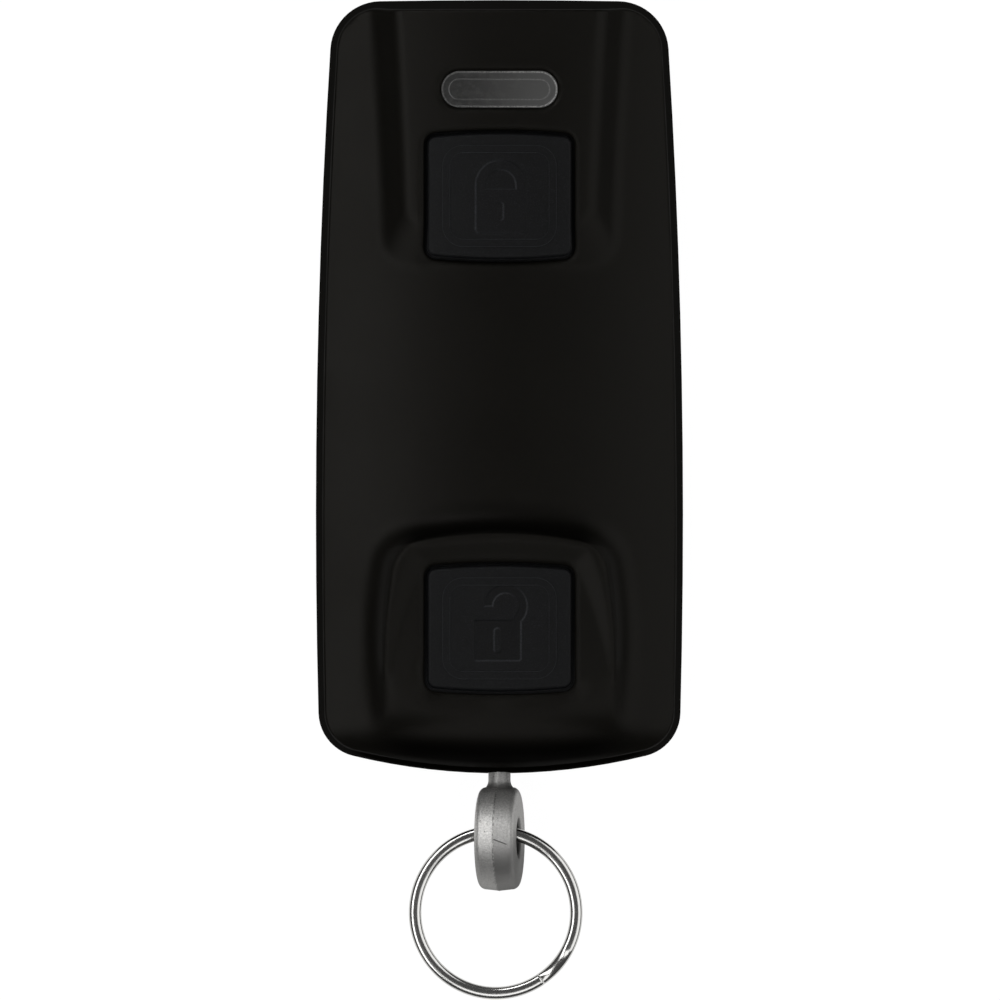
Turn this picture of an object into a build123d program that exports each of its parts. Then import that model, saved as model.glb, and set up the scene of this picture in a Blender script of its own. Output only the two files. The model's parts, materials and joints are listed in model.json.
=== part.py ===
from build123d import *
from math import cos, radians, sin, sqrt, tan
import os

os.makedirs("parts", exist_ok=True)

# A key-ring remote that locks and unlocks a door. It lies on its flat back, face up.
# Millimetres. The origin is the middle of the back. X runs across, Y towards the top end,
# Z out of the face. The key ring hangs off the -Y end.

# Case outline, seen from the front
body_length = 71.6
body_width = 34.0
widest_place = -12.0
side_radius = 700.0
top_end_radius = 600.0
bottom_end_radius = 57.0
top_corner_radius = 4.7
bottom_corner_radius = 4.2

# Case shells
parting_height = 5.2
wall_thickness = 1.6
floor_thickness = 1.5
roof_thickness = 1.6
front_draft = 7.0
rear_draft = 6.0
back_edge_radius = 1.4
tongue_height = 1.0
tongue_thickness = 0.7
tongue_clearance = 0.1

# Crowned face of the front cover
face_height = 12.8
crown_radius = 60.0
crown_long_radius = 900.0
fall_distance = 4.8
fall_radius = 5.0
fall_angle = 56.0

# Raised pads round the keys
pad_rise = 1.2
upper_pad_half_width = 9.45
upper_pad_reach = 6.13
upper_side_slope = 36.0
upper_end_slope = 20.0
upper_pad_corner_radius = 4.2
upper_end_sag = 0.5
upper_foot_radius = 2.8
upper_crest_radius = 2.4
lower_pad_half_width = 9.95
lower_pad_upper_reach = 8.89
lower_pad_lower_reach = 11.0
lower_roll_reach = 7.3
lower_crest_line_radius = 100.0
lower_wall_slope = 56.0
lower_crest_arc_radius = 37.0
lower_side_arc_radius = 45.0
lower_pad_corner_radius = 3.4
lower_across_radius = 150.0
lower_along_radius = 180.0
lower_foot_radius = 3.6
dish_depth = 0.5
dish_slope = 10.5
dish_tilt = 7.0
rim_radius = 0.3

# Keys and the openings that they sit in
opening_width = 13.9
opening_length = 12.2
opening_bulge = 0.37
opening_corner_radius = 1.1
opening_edge_radius = 0.22
upper_key_distance = 18.23
lower_key_distance = 13.46
land_height = 12.1
key_gap = 0.25
key_recess = 0.12
key_edge_radius = 0.35
key_travel = 0.5
key_flange_margin = 0.55
key_flange_thickness = 0.8
key_flange_play = 0.05
key_pocket_clearance = 0.25
key_post_diameter = 3.2
key_post_gap = 0.05
frame_width = 10.5
frame_length = 9.35
frame_corner_radius = 1.9
frame_thickness = 0.68
frame_rise = 0.18

# Status window, light guide and lamp
window_length = 10.9
window_width = 3.53
window_distance = 8.38
window_gap = 0.04
window_margin = 0.5
window_flange_thickness = 0.6
window_edge_radius = 0.15
window_recess = 0.04
window_pocket_clearance = 0.1
guide_flange_thickness = 0.5
guide_length = 7.4
guide_width = 2.2
guide_lamp_gap = 0.1
lamp_length = 3.2
lamp_width = 1.6
lamp_height = 0.9

# Circuit board and what holds it
board_bottom = 6.7
board_thickness = 1.0
board_edge_clearance = 0.3
board_end_gap = 0.8
board_notch_clearance = 0.4
post_spread = 23.6
upper_post_distance = 13.8
lower_post_distance = 15.8
post_diameter = 2.8
pin_diameter = 1.2
pin_rise = 0.9
pin_clearance = 0.05
post_play = 0.1

# Push switches
switch_side = 6.0
switch_corner_radius = 0.4
switch_base_height = 2.4
switch_well_diameter = 4.8
switch_frame_thickness = 0.3
switch_leg_width = 2.0
plunger_diameter = 3.4
plunger_rise = 0.7
plunger_flange_diameter = 4.5
plunger_flange_thickness = 0.5
plunger_clearance = 0.1
plunger_play = 0.03
dome_diameter = 4.4
dome_play = 0.05
dome_thickness = 0.08

# Chips and small components on the board: length, width, height and place
radio_chip_side = 5.0
radio_chip_height = 0.9
radio_chip_place = (-3.0, 0.5)
crystal_length = 3.2
crystal_width = 2.5
crystal_height = 0.8
crystal_place = (-3.0, -5.2)
antenna_length = 9.0
antenna_width = 3.0
antenna_height = 1.2
antenna_place = (5.6, 3.5)
component_length = 1.6
component_width = 0.8
component_height = 0.5
chip_corner_radius = 0.2
crystal_corner_radius = 0.5
component_rows = 3
component_columns = 2
component_pitch = 2.2
component_place = (5.6, -5.0)

# Coin cell, its holder and contacts
cell_diameter = 20.0
cell_thickness = 3.2
cell_cap_diameter = 17.6
cell_cap_height = 0.3
cell_edge_chamfer = 0.3
cell_place = 2.0
cell_bottom = 2.5
cell_gap = 0.2
holder_wall = 1.3
holder_corner_radius = 2.0
holder_lift = 0.2
contact_thickness = 0.2
contact_width = 4.0
contact_gap = 0.05
contact_foot = 2.4
contact_bump = 0.6
contact_bump_length = 1.3
finger_length = 3.2
finger_tip_length = 1.6
finger_tip_rise = 0.25
contact_notch_clearance = 0.3

# Battery door in the rear cover
bay_width = 22.0
bay_length = 24.0
bay_corner_radius = 2.5
door_rebate = 1.2
door_plate_thickness = 0.8
door_gap = 0.12
door_tab_width = 4.0
door_tab_spacing = 11.0
door_tab_root = 1.6
door_tab_reach = 1.3
door_tab_thickness = 0.8
door_tab_play = 0.05
door_rib_gap = 0.1
door_rib_width = 1.0
door_rib_length = 14.0
door_rib_spacing = 8.0
door_ear_radius = 3.2
door_ear_thickness = 2.2
door_ear_distance = 4.2
door_boss_wall = 1.0
door_boss_height = 6.0

# Screws
screw_diameter = 2.0
screw_head_diameter = 3.8
screw_head_height = 1.3
screw_head_chamfer = 0.35
screw_fit = 0.02
screw_clearance = 0.2
screw_head_clearance = 0.25
screw_hole_end_gap = 0.4
screw_recess_arm = 2.2
screw_recess_width = 0.5
screw_recess_depth = 0.8
case_screw_sink = 0.5
case_screw_length = 7.2
door_screw_sink = 0.3
door_screw_length = 3.6
boss_radius = 2.6
boss_seat = 6.4
boss_gap = 0.15
screw_edge_distance = 3.6
upper_screw_end_distance = 5.2
lower_screw_end_distance = 6.5

# Swivel eye
shank_diameter = 2.05
shank_fit = 0.05
eye_diameter = 9.8
eye_thickness = 3.66
eye_distance = 6.01
eye_turn = 7.4
eye_hole_diameter = 3.5
eye_hole_chamfer = 0.3
eye_edge_radius = 0.5
eye_draft = 2.5
neck_diameter = 2.9
neck_length = 0.6
neck_overlap = 0.6
saddle_half_width = 3.7
saddle_length = 4.6
bearing_length = 1.9
washer_diameter = 4.2
washer_thickness = 0.3
clip_diameter = 4.0
clip_thickness = 0.5
clip_mouth = 1.3
clip_play = 0.05
groove_diameter = 1.3
groove_play = 0.04
pocket_diameter = 4.8
pocket_length = 1.2
tail_length = 1.2
tail_chamfer = 0.3

# Split ring
ring_diameter = 16.1
ring_wire_width = 1.18
ring_wire_height = 0.92
ring_wire_chamfer = 0.24
ring_layer_gap = 0.06
ring_sideways = -0.35
ring_hang = 6.88
ring_cut_angle = -55.0
ring_crossing = 29.0
ring_crossing_steps = 5

# How far an edge or face may lie from the place where it is looked for
search_margin = 0.05


def sag(reach, radius):
    """How far an arc falls below its crest at some reach from it."""
    return radius - sqrt(radius**2 - reach**2)


# Places measured in from the two ends of the case
upper_key_place = body_length / 2 - upper_key_distance
lower_key_place = lower_key_distance - body_length / 2
window_place = body_length / 2 - window_distance
upper_pad_end = upper_key_place - upper_pad_reach
lower_pad_top = lower_key_place + lower_pad_upper_reach
lower_pad_bottom = lower_key_place - lower_pad_lower_reach
fall_place = fall_distance - body_length / 2
saddle_end = saddle_length - body_length / 2
eye_place = -body_length / 2 - eye_distance
ring_centre = (ring_sideways, eye_place - ring_hang)

# Heights of the pads
pad_height = face_height + pad_rise
front_rise = pad_height + pad_rise - parting_height
lower_crest_height = pad_height - sag(lower_pad_top, crown_long_radius)
lower_land_height = lower_crest_height - dish_depth
pad_root = face_height - 1.5 * pad_rise - sag(lower_pad_half_width + pad_rise, crown_radius)
pad_ceiling = pad_height + pad_rise


def half_width(place):
    """Half the width of the case where its long sides cross one place along Y."""
    return body_width / 2 - sag(place - widest_place, side_radius)


def body_outline(inset, height):
    """Outline of the case drawn inwards by an inset, as a sketch at one height."""
    end = body_length / 2 - inset
    side = body_width / 2 - inset
    top_y = end - sag(half_width(end) - inset, top_end_radius)
    bottom_y = sag(half_width(-end) - inset, bottom_end_radius - inset) - end
    top_x = half_width(top_y) - inset
    bottom_x = half_width(bottom_y) - inset
    with BuildSketch(Plane.XY.offset(height)) as outline:
        with BuildLine():
            ThreePointArc((top_x, top_y), (0, end), (-top_x, top_y))
            ThreePointArc((-top_x, top_y), (-side, widest_place), (-bottom_x, bottom_y))
            ThreePointArc((-bottom_x, bottom_y), (0, -end), (bottom_x, bottom_y))
            ThreePointArc((bottom_x, bottom_y), (side, widest_place), (top_x, top_y))
        make_face()
        fillet(outline.vertices().group_by(Axis.Y)[0], bottom_corner_radius - inset)
        fillet(outline.vertices().group_by(Axis.Y)[-1], top_corner_radius - inset)
    return outline.sketch


def skin_height(height, across, along, radius=crown_radius):
    """Height of a crowned skin at one place, from its crest height over the origin."""
    return height - sag(along, crown_long_radius) - sag(across, radius)


def crowned_solid(height, crest_place, along_radius, across_radius, turn_place):
    """Everything below a skin that is crowned both ways and turns down past one place.

    The side profile is turned about an axis along the case. It is drawn hanging from the
    axis, so that the seam of the turned skin lies underneath.
    """
    far_y = body_length / 2 + wall_thickness
    centre = (0, 0, height - across_radius)
    with BuildPart() as crowned:
        with BuildSketch(Plane(origin=centre, x_dir=(0, 1, 0), z_dir=(-1, 0, 0))):
            with BuildLine():
                back = ThreePointArc(
                    (far_y, across_radius - sag(far_y - crest_place, along_radius)),
                    (crest_place, across_radius),
                    (turn_place, across_radius - sag(turn_place - crest_place, along_radius)),
                )
                turn = JernArc(back @ 1, back % 1, fall_radius, fall_angle)
                drop = Line(turn @ 1, turn @ 1 + (turn % 1) * fall_radius)
                Polyline(drop @ 1, ((drop @ 1).X, 0), (far_y, 0), back @ 0)
            make_face()
        revolve(axis=Axis(centre, (0, 1, 0)))
    return crowned.part


def upper_pad_outline(height):
    """Outline of the upper pad's walls at one height. It runs out past the top end."""
    rise = height - skin_height(face_height, upper_pad_half_width, 0) - pad_rise / 2
    across = upper_pad_half_width - rise / tan(radians(upper_side_slope))
    end = upper_pad_end + rise / tan(radians(upper_end_slope))
    far_y = body_length / 2 + wall_thickness / 2
    with BuildSketch(Plane.XY.offset(height)) as outline:
        with BuildLine():
            ThreePointArc((-across, end + upper_end_sag), (0, end), (across, end + upper_end_sag))
            Polyline(
                (across, end + upper_end_sag),
                (across, far_y),
                (-across, far_y),
                (-across, end + upper_end_sag),
            )
        make_face()
        fillet(outline.vertices().group_by(Axis.Y)[0], upper_pad_corner_radius)
    return outline.sketch


def lower_pad_outline(height):
    """Outline of the lower pad's walls at one height, widest at the foot."""
    inset = (height - lower_crest_height) / tan(radians(lower_wall_slope))
    top = lower_pad_top - inset
    widest = lower_pad_half_width - inset
    bottom = lower_pad_bottom + inset
    shoulder = top - sag(widest, lower_crest_arc_radius)
    across = widest - sag(shoulder - lower_key_place, lower_side_arc_radius)
    foot = widest - sag(bottom - lower_key_place, lower_side_arc_radius)
    with BuildSketch(Plane.XY.offset(height)) as outline:
        with BuildLine():
            ThreePointArc((across, shoulder), (0, top), (-across, shoulder))
            ThreePointArc((-across, shoulder), (-widest, lower_key_place), (-foot, bottom))
            Line((-foot, bottom), (foot, bottom))
            ThreePointArc((foot, bottom), (widest, lower_key_place), (across, shoulder))
        make_face()
        fillet(outline.vertices().group_by(Axis.Y)[-1], lower_pad_corner_radius)
    return outline.sketch


def opening_outline(place, margin, height):
    """Outline of a key opening, grown by a margin (negative shrinks it), at one height."""
    reach = opening_width / 2 + margin
    end = opening_length / 2 + margin
    side = end - opening_bulge
    with BuildSketch(Plane((0, place, height))) as outline:
        with BuildLine():
            ThreePointArc((reach, side), (0, end), (-reach, side))
            Line((-reach, side), (-reach, -side))
            ThreePointArc((-reach, -side), (0, -end), (reach, -side))
            Line((reach, -side), (reach, side))
        make_face()
        fillet(outline.vertices(), opening_corner_radius + margin)
    return outline.sketch


def slot_outline(length, width, place, margin, height):
    """Pill shape across the case, grown by a margin, at one height."""
    with BuildSketch(Plane((0, place, height))) as outline:
        SlotOverall(length + 2 * margin, width + 2 * margin)
    return outline.sketch


def rounded_outline(width, length, radius, place, height):
    """Rounded rectangle centred across the case, at one height."""
    with BuildSketch(Plane((0, place, height))) as outline:
        RectangleRounded(width, length, radius)
    return outline.sketch


def case_face():
    """Everything below the crowned face without its pads."""
    return crowned_solid(face_height, 0, crown_long_radius, crown_radius, fall_place)


def upper_skin(lowering):
    """Everything below the upper pad's crown, lowered for the key and the window."""
    return crowned_solid(
        pad_height - lowering, 0, crown_long_radius, crown_radius, fall_place
    )


def lower_skin(lowering):
    """Everything below the lower pad's crown, lowered for the key."""
    return crowned_solid(
        lower_crest_height - lowering,
        lower_pad_top,
        lower_along_radius,
        lower_across_radius,
        2 * lower_pad_bottom,
    )


def raised_pad(outline, skin, crest_radius):
    """Pad with sloping walls under its crown, with its upper edge rounded."""
    with BuildPart() as pad:
        loft([outline(pad_root), outline(pad_ceiling)], ruled=True)
        add(skin, mode=Mode.INTERSECT)
        crown = pad.faces().filter_by(GeomType.REVOLUTION).sort_by(Axis.Z)[-1]
        crest = crown.edges().filter_by(lambda edge: edge.center().Y < body_length / 2)
        fillet(crest, crest_radius)
    return pad.part


def dish_channel():
    """Space of the dish: three slopes down to the lower key that run out below it."""
    key_end = lower_key_place + opening_length / 2
    floor = lower_land_height - sag(opening_width / 2, lower_across_radius)
    tilt = radians(dish_tilt)
    level = Plane(
        origin=(0, key_end, floor), x_dir=(1, 0, 0), z_dir=(0, -sin(tilt), cos(tilt))
    )
    with BuildPart() as channel:
        for rise in (-pad_rise / 2, 3 * pad_rise):
            spread = rise / tan(radians(dish_slope))
            with BuildSketch(level.offset(rise)):
                with Locations((0, spread)):
                    Rectangle(
                        opening_width + 2 * spread,
                        body_length / 2,
                        align=(Align.CENTER, Align.MAX),
                    )
        loft(ruled=True)
        add(lower_skin(dish_depth), mode=Mode.SUBTRACT)
        add(case_face(), mode=Mode.SUBTRACT)
    return channel.part


def below_lower_crest():
    """Everything below the case's face or below a crest line that rolls down into its fall."""
    with BuildPart() as allowed:
        add(case_face())
        add(
            crowned_solid(
                lower_crest_height,
                lower_pad_top,
                lower_crest_line_radius,
                lower_across_radius,
                lower_key_place - lower_roll_reach,
            )
        )
    return allowed.part


def with_pad(face, pad, foot_radius):
    """The face with one pad joined to it and blended into it round the foot."""
    with BuildPart() as joined:
        add(face)
        add(pad)
        foot = new_edges(face, pad, combined=joined.part)
        fillet(
            foot.filter_by(lambda edge: lower_pad_bottom < edge.center().Y < body_length / 2),
            foot_radius,
        )
    return joined.part


def saddle_outline(grow, height):
    """Block round the eye's shank, from inside the end wall to the far end of its bore."""
    end_wall = wall_thickness / 2 - body_length / 2
    with BuildSketch(Plane((0, (end_wall + saddle_end) / 2, height))) as outline:
        Rectangle(2 * (saddle_half_width + grow), saddle_end - end_wall + 2 * grow)
    return outline.sketch


def round_posts(places, diameter, height, amount, mode=Mode.ADD):
    """Equal round posts, or holes, that rise from one height at several places."""
    with BuildSketch(Plane.XY.offset(height)) as circles:
        with Locations(*places):
            Circle(diameter / 2)
    return extrude(circles.sketch, amount=amount, mode=mode)


# Other heights and places that follow from the sizes above
board_top = board_bottom + board_thickness
board_inset = (
    wall_thickness + board_edge_clearance + (board_top - parting_height) * tan(radians(front_draft))
)
key_flange_top = land_height - key_flange_play
key_flange_bottom = key_flange_top - key_flange_thickness
window_bottom = land_height - window_flange_thickness
switch_top = board_top + switch_base_height
plunger_top = switch_top + switch_frame_thickness + plunger_rise
plunger_flange_bottom = switch_top - plunger_play - plunger_flange_thickness
dome_top = plunger_flange_bottom - dome_play
dome_base = plunger_flange_bottom - key_travel - dome_thickness
screw_places = [
    (side * (half_width(place) - screw_edge_distance), place)
    for side in (-1, 1)
    for place in (
        body_length / 2 - upper_screw_end_distance,
        lower_screw_end_distance - body_length / 2,
    )
]
post_places = [
    (side * post_spread / 2, place)
    for side in (-1, 1)
    for place in (body_length / 2 - upper_post_distance, lower_post_distance - body_length / 2)
]
case_screw_seat = case_screw_sink + screw_head_height
door_screw_seat = door_screw_sink + screw_head_height
door_screw_place = (0, cell_place - bay_length / 2 - door_ear_distance)
bearing_end = bearing_length - body_length / 2
pocket_end = bearing_end + pocket_length
washer_start = bearing_end + clip_play
clip_start = washer_start + washer_thickness + clip_play
shank_end = pocket_end + tail_length
shank_axis = Axis((0, 0, parting_height), (0, 1, 0))


def shank_bore(diameter, start, end):
    """Round space along the shank's axis, from one place along Y to another."""
    with BuildPart() as bore:
        with BuildSketch(Plane(origin=(0, start, parting_height), z_dir=(0, 1, 0))):
            Circle(diameter / 2)
        extrude(amount=end - start)
    return bore.part


def shank_spaces():
    """Bore for the shank and pocket for its washer and clip, half in each cover."""
    bore_diameter = shank_diameter + 2 * shank_fit
    outside = -body_length / 2 - wall_thickness
    with BuildPart() as spaces:
        add(shank_bore(bore_diameter, outside, saddle_end + wall_thickness))
        add(shank_bore(pocket_diameter, bearing_end, pocket_end))
    return spaces.part


def inner_roof():
    """Everything below the cover's roof: one arc across, and one slope under the fall."""
    height = face_height - roof_thickness - sag(fall_place, crown_long_radius)
    drop = (body_length / 2 + fall_place) * tan(radians(fall_angle / 2))
    with BuildPart() as roof:
        with BuildSketch(Plane.XZ):
            with Locations((0, height - crown_radius)):
                Circle(crown_radius)
        extrude(amount=body_length, both=True)
        with BuildSketch(Plane.YZ):
            Polygon(
                (body_length, 0),
                (body_length, height),
                (fall_place, height),
                (-body_length / 2, height - drop),
                (-body_length / 2, 0),
                align=None,
            )
        extrude(amount=body_width, both=True, mode=Mode.INTERSECT)
    return roof.part


def front_inside():
    """Hollow of the front cover, with its blocks, bosses and posts left standing."""
    with BuildPart() as inside:
        extrude(body_outline(wall_thickness, parting_height), amount=front_rise, taper=front_draft)
        add(inner_roof(), mode=Mode.INTERSECT)
        extrude(saddle_outline(0, parting_height), amount=front_rise, mode=Mode.SUBTRACT)
        round_posts(screw_places, 2 * boss_radius, boss_seat, front_rise, Mode.SUBTRACT)
        round_posts(post_places, post_diameter, board_top + post_play, front_rise, Mode.SUBTRACT)
    return inside.part


def rim_edges(piece, place):
    """Edges round the top of one key opening."""
    lowest = land_height + opening_edge_radius

    def on_rim(edge):
        middle = edge.center()
        across = abs(middle.X) < opening_width / 2 + search_margin
        along = abs(middle.Y - place) < opening_length / 2 + search_margin
        return across and along and middle.Z > lowest

    return piece.edges().filter_by(on_rim).filter_by(Axis.Z, reverse=True)


def is_outer_rim(edge):
    """True for the edges where the front cover's drafted wall meets its face."""
    middle = edge.center()
    near_wall = (
        abs(middle.X) > half_width(middle.Y) - wall_thickness
        or middle.Y > body_length / 2 - wall_thickness
        or middle.Y < -body_length / 2 + 2 * wall_thickness
    )
    return near_wall and middle.Z > pad_root - 10 * search_margin


def door_outline(grow, height):
    """Plate of the battery door with the ear for its screw, grown by a clearance."""
    plate_width = bay_width + 2 * (door_rebate + grow)
    plate_length = bay_length + 2 * (door_rebate + grow)
    ear_reach = bay_length / 2 + door_ear_distance
    with BuildSketch(Plane((0, cell_place, height))) as outline:
        RectangleRounded(plate_width, plate_length, bay_corner_radius + door_rebate + grow)
        with Locations((0, -ear_reach)):
            Circle(door_ear_radius + grow)
            Rectangle(2 * (door_ear_radius + grow), ear_reach, align=(Align.CENTER, Align.MIN))
    return outline.sketch


def pan_head_screw(length):
    """Cross-recessed screw with its seat at the origin and its shank along +Z."""
    with BuildPart() as screw:
        with BuildSketch(Plane.XY.offset(-screw_head_height)):
            Circle(screw_head_diameter / 2)
        extrude(amount=screw_head_height)
        chamfer(screw.edges().sort_by(Axis.Z)[0], screw_head_chamfer)
        with BuildSketch():
            Circle(screw_diameter / 2)
        extrude(amount=length)
        with BuildSketch(Plane.XY.offset(-screw_head_height)):
            Rectangle(screw_recess_arm, screw_recess_width)
            Rectangle(screw_recess_width, screw_recess_arm)
        extrude(amount=screw_recess_depth, mode=Mode.SUBTRACT)
    return screw.part


def raised_frame(place, skin):
    """Ridge round the sign on a key, standing a little above the key's crown."""
    with BuildPart() as frame:
        with BuildSketch(Plane((0, place, key_flange_top))):
            RectangleRounded(frame_width, frame_length, frame_corner_radius)
            RectangleRounded(
                frame_width - 2 * frame_thickness,
                frame_length - 2 * frame_thickness,
                frame_corner_radius - frame_thickness,
                mode=Mode.SUBTRACT,
            )
        extrude(amount=front_rise)
        add(skin.moved(Location((0, 0, frame_rise))), mode=Mode.INTERSECT)
    return frame.part


def is_eye_hole(edge):
    """True for the two circles where the eye's hole meets its faces."""
    return abs(edge.radius - eye_hole_diameter / 2) < search_margin


def wire_section():
    """Section of the ring's flat wire, with its corners taken off."""
    with BuildSketch() as section:
        Rectangle(ring_wire_width, ring_wire_height)
        chamfer(section.vertices(), ring_wire_chamfer)
    return section.sketch


def ring_plane(angle):
    """Plane across the split ring's wire at one angle, centred on its middle line."""
    turn = radians(angle)
    reach = (ring_diameter - ring_wire_width) / 2
    centre_x, centre_y = ring_centre
    origin = (centre_x + reach * cos(turn), centre_y + reach * sin(turn), parting_height)
    return Plane(origin=origin, x_dir=(cos(turn), sin(turn), 0), z_dir=(sin(turn), -cos(turn), 0))


ring_axis = Axis((*ring_centre, parting_height), (0, 0, 1))


with BuildPart() as walls:
    loft([lower_pad_outline(pad_root), lower_pad_outline(pad_ceiling)], ruled=True)

# The lower pad's walls are blended in tall, so that the blend can fade out where they are cut
with BuildPart() as lower_face:
    add(with_pad(case_face(), walls.part, lower_foot_radius))
    add(below_lower_crest(), mode=Mode.INTERSECT)
    add(dish_channel(), mode=Mode.SUBTRACT)

face = with_pad(
    lower_face.part,
    raised_pad(upper_pad_outline, upper_skin(0), upper_crest_radius),
    upper_foot_radius,
)

with BuildPart() as front_cover:
    extrude(body_outline(0, parting_height), amount=front_rise, taper=front_draft)
    add(face, mode=Mode.INTERSECT)
    add(front_inside(), mode=Mode.SUBTRACT)

    # Groove that the rear cover's tongue enters
    with BuildSketch(Plane.XY.offset(parting_height)) as groove:
        add(body_outline(wall_thickness - tongue_thickness - tongue_clearance, parting_height))
        add(saddle_outline(0, parting_height), mode=Mode.SUBTRACT)
    extrude(groove.sketch, amount=tongue_height + tongue_clearance, mode=Mode.SUBTRACT)

    # Key openings and the pockets for the keys' flanges
    for place in (upper_key_place, lower_key_place):
        pocket_margin = key_flange_margin + key_pocket_clearance
        extrude(
            opening_outline(place, pocket_margin, board_top),
            amount=land_height - board_top,
            mode=Mode.SUBTRACT,
        )
        extrude(opening_outline(place, 0, board_top), amount=front_rise, mode=Mode.SUBTRACT)

    for place in (upper_key_place, lower_key_place):
        fillet(rim_edges(front_cover, place), opening_edge_radius)

    # Window opening and the pocket for its flange
    pocket_margin = window_margin + window_pocket_clearance
    extrude(
        slot_outline(window_length, window_width, window_place, pocket_margin, board_top),
        amount=land_height - board_top,
        mode=Mode.SUBTRACT,
    )
    extrude(
        slot_outline(window_length, window_width, window_place, 0, board_top),
        amount=front_rise,
        mode=Mode.SUBTRACT,
    )

    # Pilot holes for the case screws, holes for the board's pins, and the shank's bore
    pilot_depth = case_screw_seat + case_screw_length + screw_hole_end_gap - boss_seat
    round_posts(screw_places, screw_diameter + 2 * screw_fit, boss_seat, pilot_depth, Mode.SUBTRACT)
    round_posts(
        post_places,
        pin_diameter + 2 * pin_clearance,
        board_top,
        pin_rise + pin_clearance,
        Mode.SUBTRACT,
    )
    add(shank_spaces(), mode=Mode.SUBTRACT)
    fillet(front_cover.edges().filter_by(is_outer_rim), rim_radius)
front_cover.part.label = "front_cover"
export_step(front_cover.part, "parts/front_cover.step")

# Rear cover: floor, walls and tongue, with the battery bay's opening and rebate
bay_height = floor_thickness + door_tab_play
door_ear_gap_radius = door_ear_radius + door_gap
with BuildPart() as rear_cover:
    extrude(body_outline(0, parting_height), amount=-parting_height, taper=rear_draft)
    fillet(rear_cover.faces().sort_by(Axis.Z)[0].edges(), back_edge_radius)
    extrude(
        body_outline(wall_thickness, parting_height),
        amount=floor_thickness - parting_height,
        taper=rear_draft,
        mode=Mode.SUBTRACT,
    )
    with BuildSketch(Plane.XY.offset(parting_height)) as tongue:
        add(body_outline(wall_thickness - tongue_thickness, parting_height))
        add(body_outline(wall_thickness, parting_height), mode=Mode.SUBTRACT)
        add(saddle_outline(tongue_clearance, parting_height), mode=Mode.SUBTRACT)
    extrude(tongue.sketch, amount=tongue_height)
    extrude(tongue.sketch, amount=-tongue_height)

    # Block under the shank, bosses for the screws, posts and pins under the board
    extrude(saddle_outline(0, floor_thickness), amount=parting_height - floor_thickness)
    boss_rise = boss_seat - boss_gap - floor_thickness
    round_posts(screw_places, 2 * boss_radius, floor_thickness, boss_rise)
    round_posts(post_places, post_diameter, floor_thickness, board_bottom - floor_thickness)
    round_posts(post_places, pin_diameter, board_bottom, board_thickness + pin_rise)
    ear_boss_diameter = 2 * (door_ear_gap_radius + door_boss_wall)
    ear_boss_rise = door_boss_height - floor_thickness
    round_posts([door_screw_place], ear_boss_diameter, floor_thickness, ear_boss_rise)

    # Openings for the battery door and all the screws
    extrude(door_outline(door_gap, 0), amount=door_plate_thickness, mode=Mode.SUBTRACT)
    extrude(
        rounded_outline(bay_width, bay_length, bay_corner_radius, cell_place, 0),
        amount=floor_thickness,
        mode=Mode.SUBTRACT,
    )
    ear_depth = door_ear_thickness + door_gap
    round_posts([door_screw_place], 2 * door_ear_gap_radius, 0, ear_depth, Mode.SUBTRACT)
    pilot_end = door_screw_seat + door_screw_length + screw_hole_end_gap
    pilot_diameter = screw_diameter + 2 * screw_fit
    round_posts([door_screw_place], pilot_diameter, 0, pilot_end, Mode.SUBTRACT)
    head_diameter = screw_head_diameter + 2 * screw_head_clearance
    round_posts(screw_places, head_diameter, 0, case_screw_seat, Mode.SUBTRACT)
    round_posts(screw_places, screw_diameter + 2 * screw_clearance, 0, boss_seat, Mode.SUBTRACT)
    add(shank_spaces(), mode=Mode.SUBTRACT)
rear_cover.part.label = "rear_cover"
export_step(rear_cover.part, "parts/rear_cover.step")

# Battery door: a rebated plate with an ear for its screw, two hooks and two ribs on the cell
with BuildPart() as battery_door:
    extrude(door_outline(0, 0), amount=door_plate_thickness)
    extrude(
        rounded_outline(
            bay_width - 2 * door_gap,
            bay_length - 2 * door_gap,
            bay_corner_radius - door_gap,
            cell_place,
            0,
        ),
        amount=floor_thickness,
    )
    round_posts([door_screw_place], 2 * door_ear_radius, 0, door_ear_thickness)
    hook_end = cell_place + bay_length / 2 + door_tab_reach
    hook_start = cell_place + bay_length / 2 - door_gap - door_tab_root
    hook_places = [(-door_tab_spacing / 2, hook_start), (door_tab_spacing / 2, hook_start)]
    with BuildSketch(Plane.XY.offset(bay_height)):
        with Locations(*hook_places):
            Rectangle(door_tab_width, hook_end - hook_start, align=(Align.CENTER, Align.MIN))
    extrude(amount=door_tab_thickness)
    with BuildSketch(Plane.XY.offset(floor_thickness)):
        with Locations(*hook_places):
            Rectangle(door_tab_width, door_tab_root, align=(Align.CENTER, Align.MIN))
    extrude(amount=door_tab_play)
    with BuildSketch(Plane((0, cell_place, floor_thickness))):
        with GridLocations(door_rib_spacing, 1, 2, 1):
            Rectangle(door_rib_width, door_rib_length)
    extrude(amount=cell_bottom - door_rib_gap - floor_thickness)
    round_posts([door_screw_place], head_diameter, 0, door_screw_seat, Mode.SUBTRACT)
    clear_diameter = screw_diameter + 2 * screw_clearance
    round_posts([door_screw_place], clear_diameter, 0, door_ear_thickness, Mode.SUBTRACT)
battery_door.part.label = "battery_door"
export_step(battery_door.part, "parts/battery_door.step")

with BuildPart() as battery_door_screw:
    with Locations((*door_screw_place, door_screw_seat)):
        add(pan_head_screw(door_screw_length))
battery_door_screw.part.label = "battery_door_screw"
export_step(battery_door_screw.part, "parts/battery_door_screw.step")

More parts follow.
